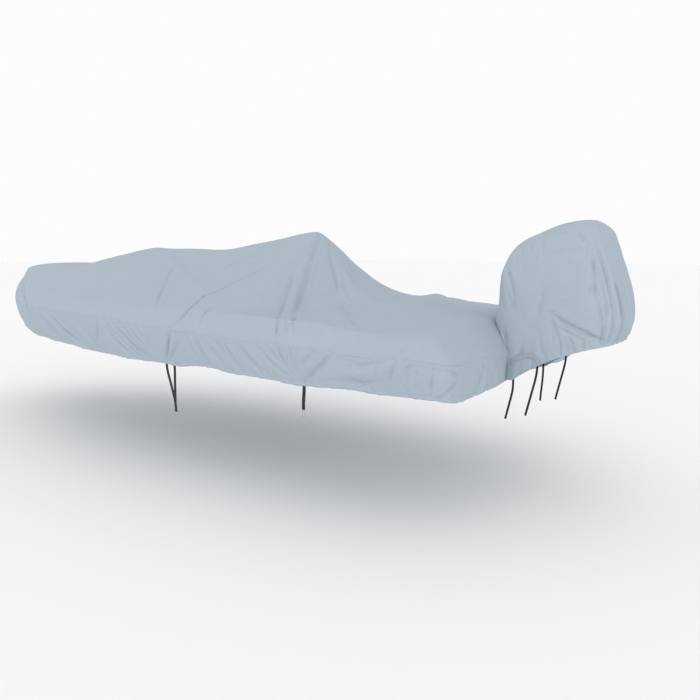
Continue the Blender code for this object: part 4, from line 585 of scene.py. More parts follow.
def prepare(rows):
    """Fold rows with their paths worked out, wavering a little as cloth does."""
    out = []
    for k, (name, path, wide_l, wide_r, rise, end0, end1, point) in enumerate(rows):
        if rise == 0:
            continue
        line, share = curve_through([place(*p) for p in path])
        rng = np.random.default_rng(1000 + k)
        long = np.linalg.norm(np.diff(line, axis=0), axis=1).sum()
        sway = 0.10 * min(wide_l, wide_r) + 0.004 * min(1.0, long)
        wave = sum(rng.normal(0, 1.0 / (q + 1)) * np.sin((q + 1) * np.pi * share + rng.uniform(0, 6.28)) for q in range(4))
        across = rng.normal(0, 1, 3)
        tangent = line[-1] - line[0]
        across -= tangent * (across @ tangent) / (tangent @ tangent)
        across /= np.linalg.norm(across)
        line = line + (sway * wave * np.sin(np.pi * share))[:, None] * across * 0.6
        swell = 1 + 0.18 * np.sin(2 * np.pi * share * rng.uniform(0.8, 1.8) + rng.uniform(0, 6.28))
        out.append(dict(name=name, line=line, share=share, wl=wide_l, wr=wide_r, rise=rise, e0=end0, e1=end1, point=point, swell=swell))
    return out


def fold_height(points, normals, folds, tree, crisp=0.45):
    """Height along the normal that the folds give at each point."""
    total = np.zeros(len(points))
    for fold in folds:
        line = fold["line"].copy()
        for i, q in enumerate(line):
            loc = tree.find_nearest(Vector(q), 0.035)[0]
            if loc is not None:
                line[i] = loc
        reach = 3.0 * max(fold["wl"], fold["wr"])
        lo, hi = line.min(0) - reach, line.max(0) + reach
        idx = np.where(((points > lo) & (points < hi)).all(1))[0]
        if not len(idx):
            continue
        p, n = points[idx], normals[idx]
        best = np.full(len(idx), 1e9)
        near = np.zeros((len(idx), 3))
        along = np.zeros(len(idx))
        way = np.zeros((len(idx), 3))
        swell = np.zeros(len(idx))
        for i in range(len(line) - 1):
            a, b = line[i], line[i + 1]
            ab = b - a
            if ab @ ab < 1e-12:
                continue
            u = np.clip(((p - a) @ ab) / (ab @ ab), 0, 1)
            q = a + u[:, None] * ab
            d = np.einsum("ij,ij->i", p - q, p - q)
            k = d < best
            best[k] = d[k]
            near[k] = q[k]
            along[k] = fold["share"][i] + u[k] * (fold["share"][i + 1] - fold["share"][i])
            way[k] = ab / np.linalg.norm(ab)
            swell[k] = fold["swell"][i]
        off = p - near
        past = np.abs(np.einsum("ij,ij->i", off, way))
        d = np.sqrt(np.maximum(0, best - past**2))
        left = np.einsum("ij,ij->i", np.cross(n, way), off) > 0
        wide = np.where(left, fold["wl"], fold["wr"])
        x = np.hypot(d, 0.16 * wide) - 0.16 * wide
        shape = np.exp(-((x / wide) ** fold["point"]))
        if crisp and fold["rise"] < 0 and fold["point"] < 1.45:
            slim = max(0.0075, 0.30 * min(fold["wl"], fold["wr"]))
            shape = (1 - crisp) * shape + crisp * np.exp(-((np.hypot(d, 0.002) - 0.002) / slim) ** 1.5)
        env = (fold["e0"] + (1 - fold["e0"]) * rise_to(along, 0, 0.35)) * (fold["e1"] + (1 - fold["e1"]) * rise_to(1 - along, 0, 0.35))
        # past its ends a fold dies away
        env = env * np.exp(-((past / (0.9 * max(fold["wl"], fold["wr"]))) ** 2)) * swell
        total[idx] += fold["rise"] * env * shape
    return total


def tree_of(points, faces):
    return BVHTree.FromPolygons([tuple(q) for q in points], [tuple(int(v) for v in f) for f in faces])


def swells(points):
    total = np.zeros(len(points))
    for s, across, ls, lt, rise in SWELLS:
        total += rise * np.exp(-(((points[:, 0] - s) / ls) ** 2) - ((points[:, 1] - across) / lt) ** 2)
    return total


def skin(points):
    """The unevenness that all cover cloth has; the same on both sides of a seam."""
    return 0.0022 * ripple(points, 1, 1.6) + 0.0008 * ripple(points, 2, 6.0)


def face_array(bm):
    return [tuple(v.index for v in f.verts) for f in bm.faces]


def vertex_normals(points, tris):
    a, b, c = points[tris[:, 0]], points[tris[:, 1]], points[tris[:, 2]]
    n = np.cross(b - a, c - a)
    out = np.zeros_like(points)
    for k in range(3):
        np.add.at(out, tris[:, k], n)
    return out / (np.linalg.norm(out, axis=1)[:, None] + 1e-15)


def triangles(faces):
    tri = []
    for f in faces:
        for k in range(1, len(f) - 1):
            tri.append((f[0], f[k], f[k + 1]))
    return np.array(tri)


def neighbours_mean(points, edges, count):
    total = np.zeros_like(points)
    np.add.at(total, edges[:, 0], points[edges[:, 1]])
    np.add.at(total, edges[:, 1], points[edges[:, 0]])
    return total / count[:, None]


def edge_list(faces):
    pairs = set()
    for f in faces:
        for a, b in zip(f, f[1:] + f[:1]):
            pairs.add((a, b) if a < b else (b, a))
    return np.array(sorted(pairs))


def soften(points, edges, weight, rounds):
    """Rounds the surface where weight is above 0."""
    count = np.bincount(edges.ravel(), minlength=len(points)).astype(float)
    p = points.copy()
    for _ in range(rounds):
        mean = neighbours_mean(p, edges, count)
        p += weight[:, None] * 0.5 * (mean - p)
    return p


def to_frame(p):
    return np.asarray(p, float) - np.array([SUPPORT_X, 0.0, SUPPORT_Z])


def shell(name, outer, faces, normals, thick, uv=None):
    """A closed thin piece: the outer face, the inner face and the rim."""
    outer = np.asarray(outer, float)
    inner = outer - normals * np.asarray(thick, float).reshape(-1, 1)
    n = len(outer)
    edges = {}
    for f in faces:
        for a, b in zip(f, f[1:] + f[:1]):
            edges[(a, b)] = edges.get((a, b), 0) + 1
    quads = list(faces) + [tuple(v + n for v in reversed(f)) for f in faces]
    for a, b in list(edges):
        if (b, a) not in edges:
            quads.append((b, a, a + n, b + n))
    return mesh_piece(name, np.vstack([outer, inner]), quads, None if uv is None else np.vstack([uv, uv]))


def mesh_piece(name, points, faces, uv=None, sharp=0.9):
    mesh = bpy.data.meshes.new(name)
    pts = to_frame(points)
    mesh.from_pydata(pts.tolist(), [], [list(f) for f in faces])
    mesh.validate()
    if uv is not None:
        layer = mesh.uv_layers.new(name="cloth")
        loops = np.zeros(len(mesh.loops), np.int32)
        mesh.loops.foreach_get("vertex_index", loops)
        layer.data.foreach_set("uv", np.asarray(uv, np.float32)[loops].ravel())
    mesh.shade_smooth()
    if sharp:
        mesh.set_sharp_from_angle(angle=sharp)
    obj = bpy.data.objects.new(name, mesh)
    bpy.context.scene.collection.objects.link(obj)
    return obj


def ripple(points, seed, scale, octaves=3):
    """Soft uneven noise, about -1 to 1."""
    base = Vector((seed * 17.13, seed * 5.71, seed * 9.37))
    return np.array([noise.fractal(Vector(p) * scale + base, 1.0, 2.0, octaves, noise_basis="PERLIN_ORIGINAL") for p in points])


# ------------------------------------------------------------------ camera
def camera():
    data = bpy.data.cameras.new("view")
    data.sensor_fit = "HORIZONTAL"
    data.sensor_width = 36.0
    data.lens = 36.0 * 692.0 / 700.0
    data.clip_end = 200.0
    obj = bpy.data.objects.new("view", data)
    eye = to_frame((-1.616, 4.302, 1.63))
    pitch, turn = math.atan(105 / 692.0), math.radians(35.0)
    ahead = Vector((math.sin(turn) * math.cos(pitch), -math.cos(turn) * math.cos(pitch), -math.sin(pitch)))
    obj.matrix_world = Matrix.Translation(Vector(eye)) @ ahead.to_track_quat("-Z", "Y").to_matrix().to_4x4()
    bpy.context.scene.collection.objects.link(obj)
    bpy.context.scene.camera = obj


camera()
cover = Bag(COVER, corner=0.020, round_off=0.042, ends=(5.50, 0.35), soft_near=0.05, soft_far=0.13)
hood_bag = Bag(HOOD, corner=0.010, wide=0.030)
deck_folds = prepare(DECK_FOLDS)
side_folds = prepare(SIDE_FOLDS)
hood_folds = prepare(HOOD_FOLDS)


# -------------------------------------------------------------- deck panel
def deck():
    at_line, h_line = cover.h_side
    steps = int(round((h_line[-1] - h_line[0]) / STEP))
    at = np.interp(np.linspace(h_line[0], h_line[-1], steps + 1), h_line, at_line)
    at[0], at[-1] = 0.0, cover.last
    half = np.concatenate([np.linspace(0, 0.952, 37), [0.972, 0.988, 1.0]])
    frac = np.concatenate([-half[:0:-1], half])
    shares = [0.0, 0.05, 0.12, 0.22, 0.34, 0.48, 0.62, 0.75, 0.86, 0.94, 1.0]
    n, m = len(at), len(frac)
    verts = [(at[i], frac[j], 0.0) for i in range(n) for j in range(m)]
    grid = np.arange(n * m).reshape(n, m)
    faces = [(grid[i, j], grid[i, j + 1], grid[i + 1, j + 1], grid[i + 1, j]) for i in range(n - 1) for j in range(m - 1)]
    c = m // 2
    ring = [(0, j) for j in range(c, m - 1)] + [(i, m - 1) for i in range(n)] + [(n - 1, j) for j in range(m - 2, 0, -1)]
    ring += [(i, 0) for i in range(n - 1, -1, -1)] + [(0, j) for j in range(1, c)]
    loop = [grid[i, j] for i, j in ring]
    for share in shares[1:]:
        start = len(verts)
        verts += [(at[i], frac[j], share) for i, j in ring]
        new = list(range(start, start + len(ring)))
        for k in range(len(ring)):
            k2 = (k + 1) % len(ring)
            faces.append((loop[k], new[k], new[k2], loop[k2]))
        loop = new
    bm = bmesh.new()
    bv = [bm.verts.new(v) for v in verts]
    for f in faces:
        bm.faces.new([bv[q] for q in f])
    bm.verts.index_update()

    def real(p):
        top = p[:, 2] <= 1e-9
        out = np.zeros((len(p), 3))
        out[top] = cover.top(p[top, 0], p[top, 1])
        out[~top] = cover.band(p[~top, 0], p[~top, 1], p[~top, 2])
        return out

    def refine(test):
        bm.verts.ensure_lookup_table()
        bm.verts.index_update()
        p = np.array([v.co[:] for v in bm.verts])
        flag = test(real(p))
        edges = {e for f in bm.faces if any(flag[v.index] for v in f.verts) for e in f.edges}
        bmesh.ops.subdivide_edges(bm, edges=list(edges), cuts=1, use_grid_fill=True)

    def near(folds, times, least):
        def test(p):
            flag = np.zeros(len(p), bool)
            for fold in folds:
                # the starboard half needs a coarser net than the port half
                need = least if fold["line"][:, 1].mean() > -0.2 else 2.4 * least
                if min(fold["wl"], fold["wr"]) > 0.058 or abs(fold["rise"]) < need:
                    continue
                line = fold["line"]
                pad = times * max(fold["wl"], fold["wr"]) + 0.012
                idx = np.where(((p > line.min(0) - pad) & (p < line.max(0) + pad)).all(1))[0]
                if not len(idx):
                    continue
                q = p[idx]
                d = np.full(len(idx), 1e9)
                for i in range(len(line) - 1):
                    a, ab = line[i], line[i + 1] - line[i]
                    u = np.clip(((q - a) @ ab) / (ab @ ab), 0, 1)
                    d = np.minimum(d, np.linalg.norm(q - a - u[:, None] * ab, axis=1))
                flag[idx[d < pad]] = True
            return flag
        return test

    refine(near(deck_folds, 1.0, 0.0055))
    refine(near([fold for fold in deck_folds if fold["line"][:, 1].mean() > -0.2], 0.35, 0.0115))
    bm.verts.ensure_lookup_table()
    bm.verts.index_update()
    p = np.array([v.co[:] for v in bm.verts])
    faces = face_array(bm)
    bm.free()
    pts = real(p)
    at_v, f_v, share = p[:, 0], p[:, 1], p[:, 2]
    edges = edge_list(faces)
    tri = triangles(faces)
    # rounding along the rim of the top, wide at the stern
    ex, ey, ez = cover.edge(at_v)
    off_side = np.abs(np.abs(pts[:, 1]) - ey)
    rim = 0.10 * np.exp(-((share / 0.22) ** 2)) * np.exp(-((off_side / 0.035) ** 2))
    free = rise_to(0.97 - share, 0, 0.25)
    rim = np.maximum(rim, rise_to(pts[:, 0], 0.62, 0.30) * free)
    rim = np.maximum(rim, 0.14 * rise_to(pts[:, 0], 4.9, 5.4) * free)
    pts = soften(pts, edges, np.clip(rim, 0, 1), 26)
    # the seam keeps its place
    seam = share >= 0.999
    pts[seam] = real(p[seam])
    nrm = vertex_normals(pts, tri)
    base_tree = tree_of(pts, faces)
    high = fold_height(pts, nrm, deck_folds, base_tree, 0.38) + fold_height(pts, nrm, side_folds, base_tree) * rise_to(share, 0.3, 0.95)
    high += skin(pts) + swells(pts) * (share < 0.5)
    pts = pts + nrm * high[:, None]
    # the lap goes on a little past the seam
    pts[seam, 2] -= LAP
    nrm = vertex_normals(pts, tri)
    uv = np.column_stack([pts[:, 0], np.where(share > 0, np.sign(f_v) * (ey + 0.16 * share), pts[:, 1])])
    return pts, faces, nrm, uv, share


# -------------------------------------------------------------- side panels
HEM_WIDE = 0.024
side_rng = {PORT: np.random.default_rng(31), STBD: np.random.default_rng(77)}


def side_panel(side):
    long = cover.length
    cols = int(round(long / (0.0068 if side > 0 else 0.0105)))
    h = np.linspace(0, long, cols + 1)
    at = cover.at_h(h)
    rail, hem = cover.col("rail", at), cover.col("hem", at)
    drop = rail - hem
    # rows: under the lap, the panel, the turned hem
    body = np.array([-0.012, -0.004, 0.004, 0.010])
    deep = 24 if side > 0 else 17
    tail = np.array([-0.027, -0.024, -0.021, -0.014, -0.007, -0.002, 0.0])
    pts, share, down = [], [], []
    for d in body[:4]:
        share.append(d / drop)
        down.append(np.full(len(h), d))
    for d in np.linspace(0, 1, deep + 1)[1:]:
        length = drop - 0.010 - 0.030
        share.append((0.010 + d * length) / drop)
        down.append(0.010 + d * length)
    for d in tail:
        share.append((drop + d) / drop)
        down.append(drop + d)
    share, down = np.array(share), np.array(down)
    r = len(share)
    H = np.tile(h, (r, 1))
    A = np.tile(at, (r, 1))
    D = np.tile(drop, (r, 1))
    inside = 0.0023 - 0.0010 * rise_to(down, -0.003, 0.008) - 0.0013 * rise_to(down, 0.009, 0.022)
    flat = cover.skirt(H.ravel(), side, A.ravel(), share.ravel(), inside.ravel())
    idx = np.arange(r * len(h)).reshape(r, len(h))
    quads = []
    for i in range(r - 1):
        for j in range(len(h) - 1):
            q = (idx[i, j], idx[i + 1, j], idx[i + 1, j + 1], idx[i, j + 1])
            quads.append(q if side > 0 else q[::-1])
    tri = triangles(quads)
    nrm = vertex_normals(flat, tri)
    base_tree = tree_of(flat, quads)
    high = fold_height(flat, nrm, side_folds, base_tree)
    # small folds that the drawn hem gathers, uneven in place, size and slant
    rng = side_rng[side]
    q = 0.25
    hh, dd, ss = H.ravel(), down.ravel(), np.clip(share.ravel(), 0, 1)
    while q < long - 0.05:
        gap = rng.uniform(0.05, 0.15)
        slant = rng.normal(0.03, 0.03)
        wide = rng.uniform(0.010, 0.022)
        reach = rng.uniform(0.25, 0.75)
        size = rng.uniform(0.0012, 0.0050) * (1.2 if q < 2.2 else 1.0)
        centre = q - slant * (1 - ss) * 2
        x = (hh - centre) / wide
        fade = rise_to(ss, 1 - reach, 1.0)
        high += size * fade * (-np.exp(-x * x) + 0.6 * np.exp(-((x - 1.9) / 1.3) ** 2))
        q += gap
    high += (0.0020 * ripple(flat, 3 if side > 0 else 4, 3.0) + 0.0010 * ripple(flat, 5, 9.0)) * rise_to(ss, 0.0, 0.4)
    # what the top's folds leave at the seam fades out below it
    high += (fold_height(flat, nrm, deck_folds, base_tree) + skin(flat)) * rise_to(-dd, -0.075, 0.0)
    over = dd - D.ravel()
    # turned hem: a stitched dent above a fuller edge
    high += -0.0012 * np.exp(-(((over + HEM_WIDE) / 0.0030) ** 2)) + 0.0014 * rise_to(over, -HEM_WIDE + 0.002, -HEM_WIDE + 0.010)
    high -= 0.0030 * rise_to(over, -0.004, 0.0005)
    pts = flat + nrm * high[:, None]
    # the hem rises and falls between its ties
    wave = 0.0035 * np.sin(hh * 5.1 + 0.6 * side) + 0.0025 * np.sin(hh * 11.7 + side) + 0.0015 * np.sin(hh * 23.0)
    pts[:, 2] += wave * rise_to(ss, 0.5, 1.0) * rise_to(hh, 0.2, 0.6) * rise_to(long - hh, 0.0, 0.4)
    # across the stern it sags near the corner and rises to the middle
    sag = np.interp(np.abs(flat[:, 1]), (0.05, 0.285, 0.50, 0.70, 0.88, 0.99), (0.008, -0.006, -0.020, -0.030, -0.028, -0.016))
    pts[:, 2] += sag * rise_to(ss, 0.3, 1.0) * rise_to(hh, cover.h_side[1][-1] - 0.42, cover.h_side[1][-1] + 0.02)
    # the two panels meet at the bow and at the stern with a hair of air
    close = np.maximum(0, 0.0006 - side * pts[:, 1])
    pts[:, 1] += side * close
    nrm = vertex_normals(pts, tri)
    thick = CLOTH + 0.0016 * rise_to(over, -HEM_WIDE - 0.001, -HEM_WIDE + 0.004)
    uv = np.column_stack([side * hh, -dd])
    return pts, quads, nrm, uv, thick, (idx, share, down, H, D)


# --------------------------------------------------------------------- hood
def hood():
    bag = hood_bag
    at_line, h_line = bag.h_side
    steps = int(round((h_line[-1] - h_line[0]) / 0.0066))
    at = np.interp(np.linspace(h_line[0], h_line[-1], steps + 1), h_line, at_line)
    at[0], at[-1] = 0.0, bag.last
    half = np.concatenate([np.linspace(0, 0.94, 19), [0.972, 1.0]])
    frac = np.concatenate([-half[:0:-1], half])
    levels = list(np.linspace(0, 1, 31)[1:]) + list(1 + np.linspace(0, 1, 41)[1:-3]) + [1.95, 1.975, 1.99, 2.0]
    n, m = len(at), len(frac)
    verts = [(at[i], frac[j], 0.0) for i in range(n) for j in range(m)]
    grid = np.arange(n * m).reshape(n, m)
    faces = [(grid[i, j], grid[i, j + 1], grid[i + 1, j + 1], grid[i + 1, j]) for i in range(n - 1) for j in range(m - 1)]
    c = m // 2
    ring = [(0, j) for j in range(c, m - 1)] + [(i, m - 1) for i in range(n)] + [(n - 1, j) for j in range(m - 2, 0, -1)]
    ring += [(i, 0) for i in range(n - 1, -1, -1)] + [(0, j) for j in range(1, c)]
    loop = [grid[i, j] for i, j in ring]
    for level in levels:
        start = len(verts)
        verts += [(at[i], frac[j], level) for i, j in ring]
        new = list(range(start, start + len(ring)))
        for k in range(len(ring)):
            k2 = (k + 1) % len(ring)
            faces.append((loop[k], new[k], new[k2], loop[k2]))
        loop = new
    p = np.array(verts, float)
    faces = [tuple(int(q) for q in f) for f in faces]
    top = p[:, 2] <= 1e-9
    mid = (p[:, 2] > 1e-9) & (p[:, 2] <= 1)
    low = p[:, 2] > 1
    pts = np.zeros_like(p)
    pts[top] = bag.top(p[top, 0], p[top, 1])
    pts[mid] = bag.band(p[mid, 0], p[mid, 1], p[mid, 2])
    hl = bag.h_of(p[low, 0], p[low, 1])
    pts[low] = bag.skirt(hl, np.where(p[low, 1] >= 0, 1.0, -1.0), p[low, 0], p[low, 2] - 1)
    edges = edge_list(faces)
    tri = triangles(faces)
    weight = np.where(p[:, 2] < 1.2, 0.8, 0.25)
    weight[p[:, 2] > 1.9] = 0.0
    pts = soften(pts, edges, weight, 22)
    # the foot of the front is drawn forward onto the stern cloth
    foot, reach = np.array([row[:3] for row in FOOT]), np.array([row[3:6] for row in FOOT])
    side = np.where(pts[:, 1] >= 0, 1.0, -1.0)
    mirror = pts * np.column_stack([np.ones(len(pts)), side, np.ones(len(pts))])
    line, _ = curve_through(foot, 80)
    aim, _ = curve_through(reach, 80)
    best, pull = np.full(len(pts), 1e9), np.zeros((len(pts), 3))
    for a, b in zip(line, aim):
        d = np.linalg.norm((mirror - a) * (1.0, 1.0, 0.8), axis=1)
        k = d < best
        best[k] = d[k]
        pull[k] = b - a
    w = np.exp(-((best / 0.085) ** 2)) * (p[:, 2] > 1.0)
    pts = pts + pull * w[:, None] * np.column_stack([np.ones(len(pts)), side, np.ones(len(pts))])
    nrm = vertex_normals(pts, tri)
    high = fold_height(pts, nrm, hood_folds, tree_of(pts, faces))
    high += 0.0030 * ripple(pts, 6, 4.0) + 0.0010 * ripple(pts, 7, 14.0)
    # small gathers along the top seam and the hem
    rng = np.random.default_rng(5)
    h_all = bag.h_of(p[:, 0], p[:, 1]) * np.where(p[:, 1] >= 0, 1, -1)
    level = p[:, 2]
    q = -bag.length
    while q < bag.length:
        wide = rng.uniform(0.006, 0.013)
        size = 0.0036 * rng.uniform(0.0, 1.0) ** 2
        x = (h_all - q) / wide
        tuck = -np.exp(-x * x) + 0.5 * np.exp(-((x - 1.8) / 1.2) ** 2)
        high += size * tuck * np.exp(-((level - 0.25) / 0.22) ** 2) * (level > 0)
        x = (h_all - q - 0.013) / (wide * 1.3)
        tuck = -np.exp(-x * x) + 0.5 * np.exp(-((x - 1.8) / 1.2) ** 2)
        high += 1.6 * size * tuck * rise_to(level, 1.0 + rng.uniform(0.35, 0.75), 2.0)
        q += rng.uniform(0.018, 0.075)
    over = (level - 2.0) * (bag.col("rail", p[:, 0]) - bag.col("hem", p[:, 0]))
    high += np.where(level > 1, -0.0012 * np.exp(-(((over + 0.020) / 0.003) ** 2)) + 0.0012 * rise_to(over, -0.018, -0.010), 0)
    pts = pts + nrm * high[:, None]
    # it rests on that cloth, never in it, and its edge lies flat there
    trees = (deck_tree, side_trees[PORT], side_trees[STBD])
    for k in np.where((p[:, 2] > 1.0) & (pts[:, 0] > -0.09))[0]:
        here = Vector(pts[k])
        hits = [hit for hit in (tree.find_nearest(here, 0.12) for tree in trees) if hit[0] is not None]
        if not hits:
            continue
        loc, n, _, _ = min(hits, key=lambda hit: hit[3])
        gap = (here - loc).dot(n)
        need = 0.0014 + 0.0028 * min(1.0, best[k] / 0.05)
        lie = math.exp(-((best[k] / 0.038) ** 2)) if pts[k][0] > -0.03 else 0.0
        if gap < need:
            pts[k] += np.array(n) * (need - gap)
        elif lie > 0.02:
            pts[k] += np.array(loc - here + n * need) * lie
    nrm = vertex_normals(pts, tri)
    around = h_all
    uv = np.column_stack([np.where(level > 0, around, pts[:, 1]), np.where(level > 0, pts[:, 2], pts[:, 0])])
    # the front edge is a single skived layer, the rest has a turned hem
    front = np.exp(-((best / 0.05) ** 2)) * (level > 1)
    thick = (CLOTH + 0.0012 * (level > 1) * rise_to(over, -0.021, -0.016)) * (1 - front) + 0.0009 * front
    return pts, faces, nrm, uv, thick


# ---------------------------------------------------------------- materials
def node(tree, kind, x=0, y=0, **values):
    n = tree.nodes.new(kind)
    n.location = (x, y)
    for key, value in values.items():
        setattr(n, key, value)
    return n


def shader(name):
    mat = bpy.data.materials.new(name)
    mat.use_nodes = True
    return mat, mat.node_tree, mat.node_tree.nodes["Principled BSDF"]


def cloth_material():
    mat, tree, bsdf = shader("cover_cloth")
    link = tree.links.new
    uv = node(tree, "ShaderNodeUVMap", -1500, 0, uv_map="cloth")
    pos = node(tree, "ShaderNodeTexCoord", -1500, -300)
    # slow change of tone over the cloth, and a faint mauve cast in places
    big = node(tree, "ShaderNodeTexNoise", -1200, 300)
    big.inputs["Scale"].default_value = 1.3
    big.inputs["Detail"].default_value = 3.0
    link(pos.outputs["Object"], big.inputs["Vector"])
    ramp = node(tree, "ShaderNodeValToRGB", -950, 300)
    ramp.color_ramp.elements[0].position, ramp.color_ramp.elements[1].position = 0.30, 0.72
    ramp.color_ramp.elements[0].color = (*TONE_A, 1)
    ramp.color_ramp.elements[1].color = (*TONE_B, 1)
    link(big.outputs["Fac"], ramp.inputs["Fac"])
    fine = node(tree, "ShaderNodeTexNoise", -1200, 40)
    fine.inputs["Scale"].default_value = 34.0
    fine.inputs["Detail"].default_value = 4.0
    link(pos.outputs["Object"], fine.inputs["Vector"])
    fade = node(tree, "ShaderNodeMapRange", -950, 40)
    fade.inputs["To Min"].default_value, fade.inputs["To Max"].default_value = 0.965, 1.03
    link(fine.outputs["Fac"], fade.inputs["Value"])
    # the threads: two crossing sets of ribs
    sep = node(tree, "ShaderNodeSeparateXYZ", -1250, -260)
    link(uv.outputs["UV"], sep.inputs["Vector"])
    ribs = []
    for k, axis in enumerate(("X", "Y")):
        mul = node(tree, "ShaderNodeMath", -1050, -200 - 160 * k, operation="MULTIPLY")
        mul.inputs[1].default_value = 2 * math.pi / 0.0013
        link(sep.outputs[axis], mul.inputs[0])
        sin = node(tree, "ShaderNodeMath", -880, -200 - 160 * k, operation="SINE")
        link(mul.outputs[0], sin.inputs[0])
        ribs.append(sin)
    weave = node(tree, "ShaderNodeMath", -700, -280, operation="MULTIPLY")
    link(ribs[0].outputs[0], weave.inputs[0])
    link(ribs[1].outputs[0], weave.inputs[1])
    tint = node(tree, "ShaderNodeMapRange", -520, -140)
    tint.inputs["From Min"].default_value = -1.0
    tint.inputs["To Min"].default_value, tint.inputs["To Max"].default_value = 0.985, 1.015
    link(weave.outputs[0], tint.inputs["Value"])
    both = node(tree, "ShaderNodeMath", -520, 60, operation="MULTIPLY")
    link(fade.outputs[0], both.inputs[0])
    link(tint.outputs[0], both.inputs[1])
    mix = node(tree, "ShaderNodeVectorMath", -320, 200, operation="SCALE")
    link(ramp.outputs["Color"], mix.inputs[0])
    link(both.outputs[0], mix.inputs["Scale"])
    link(mix.outputs[0], bsdf.inputs["Base Color"])
    # uneven sheen of the coating
    rough = node(tree, "ShaderNodeMapRange", -520, -380)
    rough.inputs["To Min"].default_value, rough.inputs["To Max"].default_value = 0.70, 0.86
    link(fine.outputs["Fac"], rough.inputs["Value"])
    link(rough.outputs[0], bsdf.inputs["Roughness"])
    bsdf.inputs["Specular IOR Level"].default_value = 0.10
    bsdf.inputs["Sheen Weight"].default_value = 0.03
    bsdf.inputs["Sheen Roughness"].default_value = 0.45
    # the weave, and small crumples of the stiff cloth
    bump1 = node(tree, "ShaderNodeBump", -320, -300)
    bump1.inputs["Strength"].default_value = 0.35
    bump1.inputs["Distance"].default_value = 0.00025
    link(weave.outputs[0], bump1.inputs["Height"])
    crumple = node(tree, "ShaderNodeTexNoise", -700, -560)
    crumple.inputs["Scale"].default_value = 9.0
    crumple.inputs["Detail"].default_value = 5.0
    crumple.inputs["Roughness"].default_value = 0.55
    crumple.inputs["Distortion"].default_value = 0.6
    link(pos.outputs["Object"], crumple.inputs["Vector"])
    bump2 = node(tree, "ShaderNodeBump", -120, -300)
    bump2.inputs["Strength"].default_value = 0.35
    bump2.inputs["Distance"].default_value = 0.004
    link(crumple.outputs["Fac"], bump2.inputs["Height"])
    link(bump1.outputs["Normal"], bump2.inputs["Normal"])
    link(bump2.outputs["Normal"], bsdf.inputs["Normal"])
    return mat


def webbing_material(name, rgb, dark, rough):
    """Ribbed webbing: uv is metres across and along."""
    mat, tree, bsdf = shader(name)
    link = tree.links.new
    uv = node(tree, "ShaderNodeUVMap", -1300, 0, uv_map="cloth")
    sep = node(tree, "ShaderNodeSeparateXYZ", -1100, 0)
    link(uv.outputs["UV"], sep.inputs["Vector"])
    # chevron ribs: a saw along the strap shifted by the place across it
    across = node(tree, "ShaderNodeMath", -900, 120, operation="PINGPONG")
    across.inputs[1].default_value = 0.0032
    link(sep.outputs["X"], across.inputs[0])
    add = node(tree, "ShaderNodeMath", -720, 60, operation="ADD")
    link(across.outputs[0], add.inputs[0])
    link(sep.outputs["Y"], add.inputs[1])
    mul = node(tree, "ShaderNodeMath", -560, 60, operation="MULTIPLY")
    mul.inputs[1].default_value = 2 * math.pi / 0.0021
    link(add.outputs[0], mul.inputs[0])
    rib = node(tree, "ShaderNodeMath", -400, 60, operation="SINE")
    link(mul.outputs[0], rib.inputs[0])
    ramp = node(tree, "ShaderNodeMapRange", -220, 160)
    ramp.inputs["From Min"].default_value = -1.0
    ramp.inputs["To Min"].default_value, ramp.inputs["To Max"].default_value = dark, 1.0
    link(rib.outputs[0], ramp.inputs["Value"])
    spot = node(tree, "ShaderNodeTexNoise", -560, 320)
    spot.inputs["Scale"].default_value = 60.0
    pos = node(tree, "ShaderNodeTexCoord", -760, 320)
    link(pos.outputs["Object"], spot.inputs["Vector"])
    vary = node(tree, "ShaderNodeMapRange", -380, 320)
    vary.inputs["To Min"].default_value, vary.inputs["To Max"].default_value = 0.85, 1.15
    link(spot.outputs["Fac"], vary.inputs["Value"])
    both = node(tree, "ShaderNodeMath", -40, 240, operation="MULTIPLY")
    link(ramp.outputs[0], both.inputs[0])
    link(vary.outputs[0], both.inputs[1])
    scale = node(tree, "ShaderNodeVectorMath", 120, 240, operation="SCALE")
    scale.inputs[0].default_value = rgb
    link(both.outputs[0], scale.inputs["Scale"])
    link(scale.outputs[0], bsdf.inputs["Base Color"])
    bsdf.inputs["Roughness"].default_value = rough
    bsdf.inputs["Specular IOR Level"].default_value = 0.35
    bump = node(tree, "ShaderNodeBump", -40, -160)
    bump.inputs["Strength"].default_value = 0.8
    bump.inputs["Distance"].default_value = 0.0004
    link(rib.outputs[0], bump.inputs["Height"])
    link(bump.outputs["Normal"], bsdf.inputs["Normal"])
    return mat


def steel_material():
    mat, tree, bsdf = shader("hook_steel")
    link = tree.links.new
    pos = node(tree, "ShaderNodeTexCoord", -900, 0)
    spot = node(tree, "ShaderNodeTexNoise", -700, 0)
    spot.inputs["Scale"].default_value = 160.0
    spot.inputs["Detail"].default_value = 4.0
    link(pos.outputs["Object"], spot.inputs["Vector"])
    ramp = node(tree, "ShaderNodeValToRGB", -450, 120)
    ramp.color_ramp.elements[0].color = (0.40, 0.40, 0.41, 1)
    ramp.color_ramp.elements[1].color = (0.70, 0.70, 0.72, 1)
    link(spot.outputs["Fac"], ramp.inputs["Fac"])
    link(ramp.outputs["Color"], bsdf.inputs["Base Color"])
    rough = node(tree, "ShaderNodeMapRange", -450, -120)
    rough.inputs["To Min"].default_value, rough.inputs["To Max"].default_value = 0.25, 0.50
    link(spot.outputs["Fac"], rough.inputs["Value"])
    link(rough.outputs[0], bsdf.inputs["Roughness"])
    bsdf.inputs["Metallic"].default_value = 1.0
    return mat


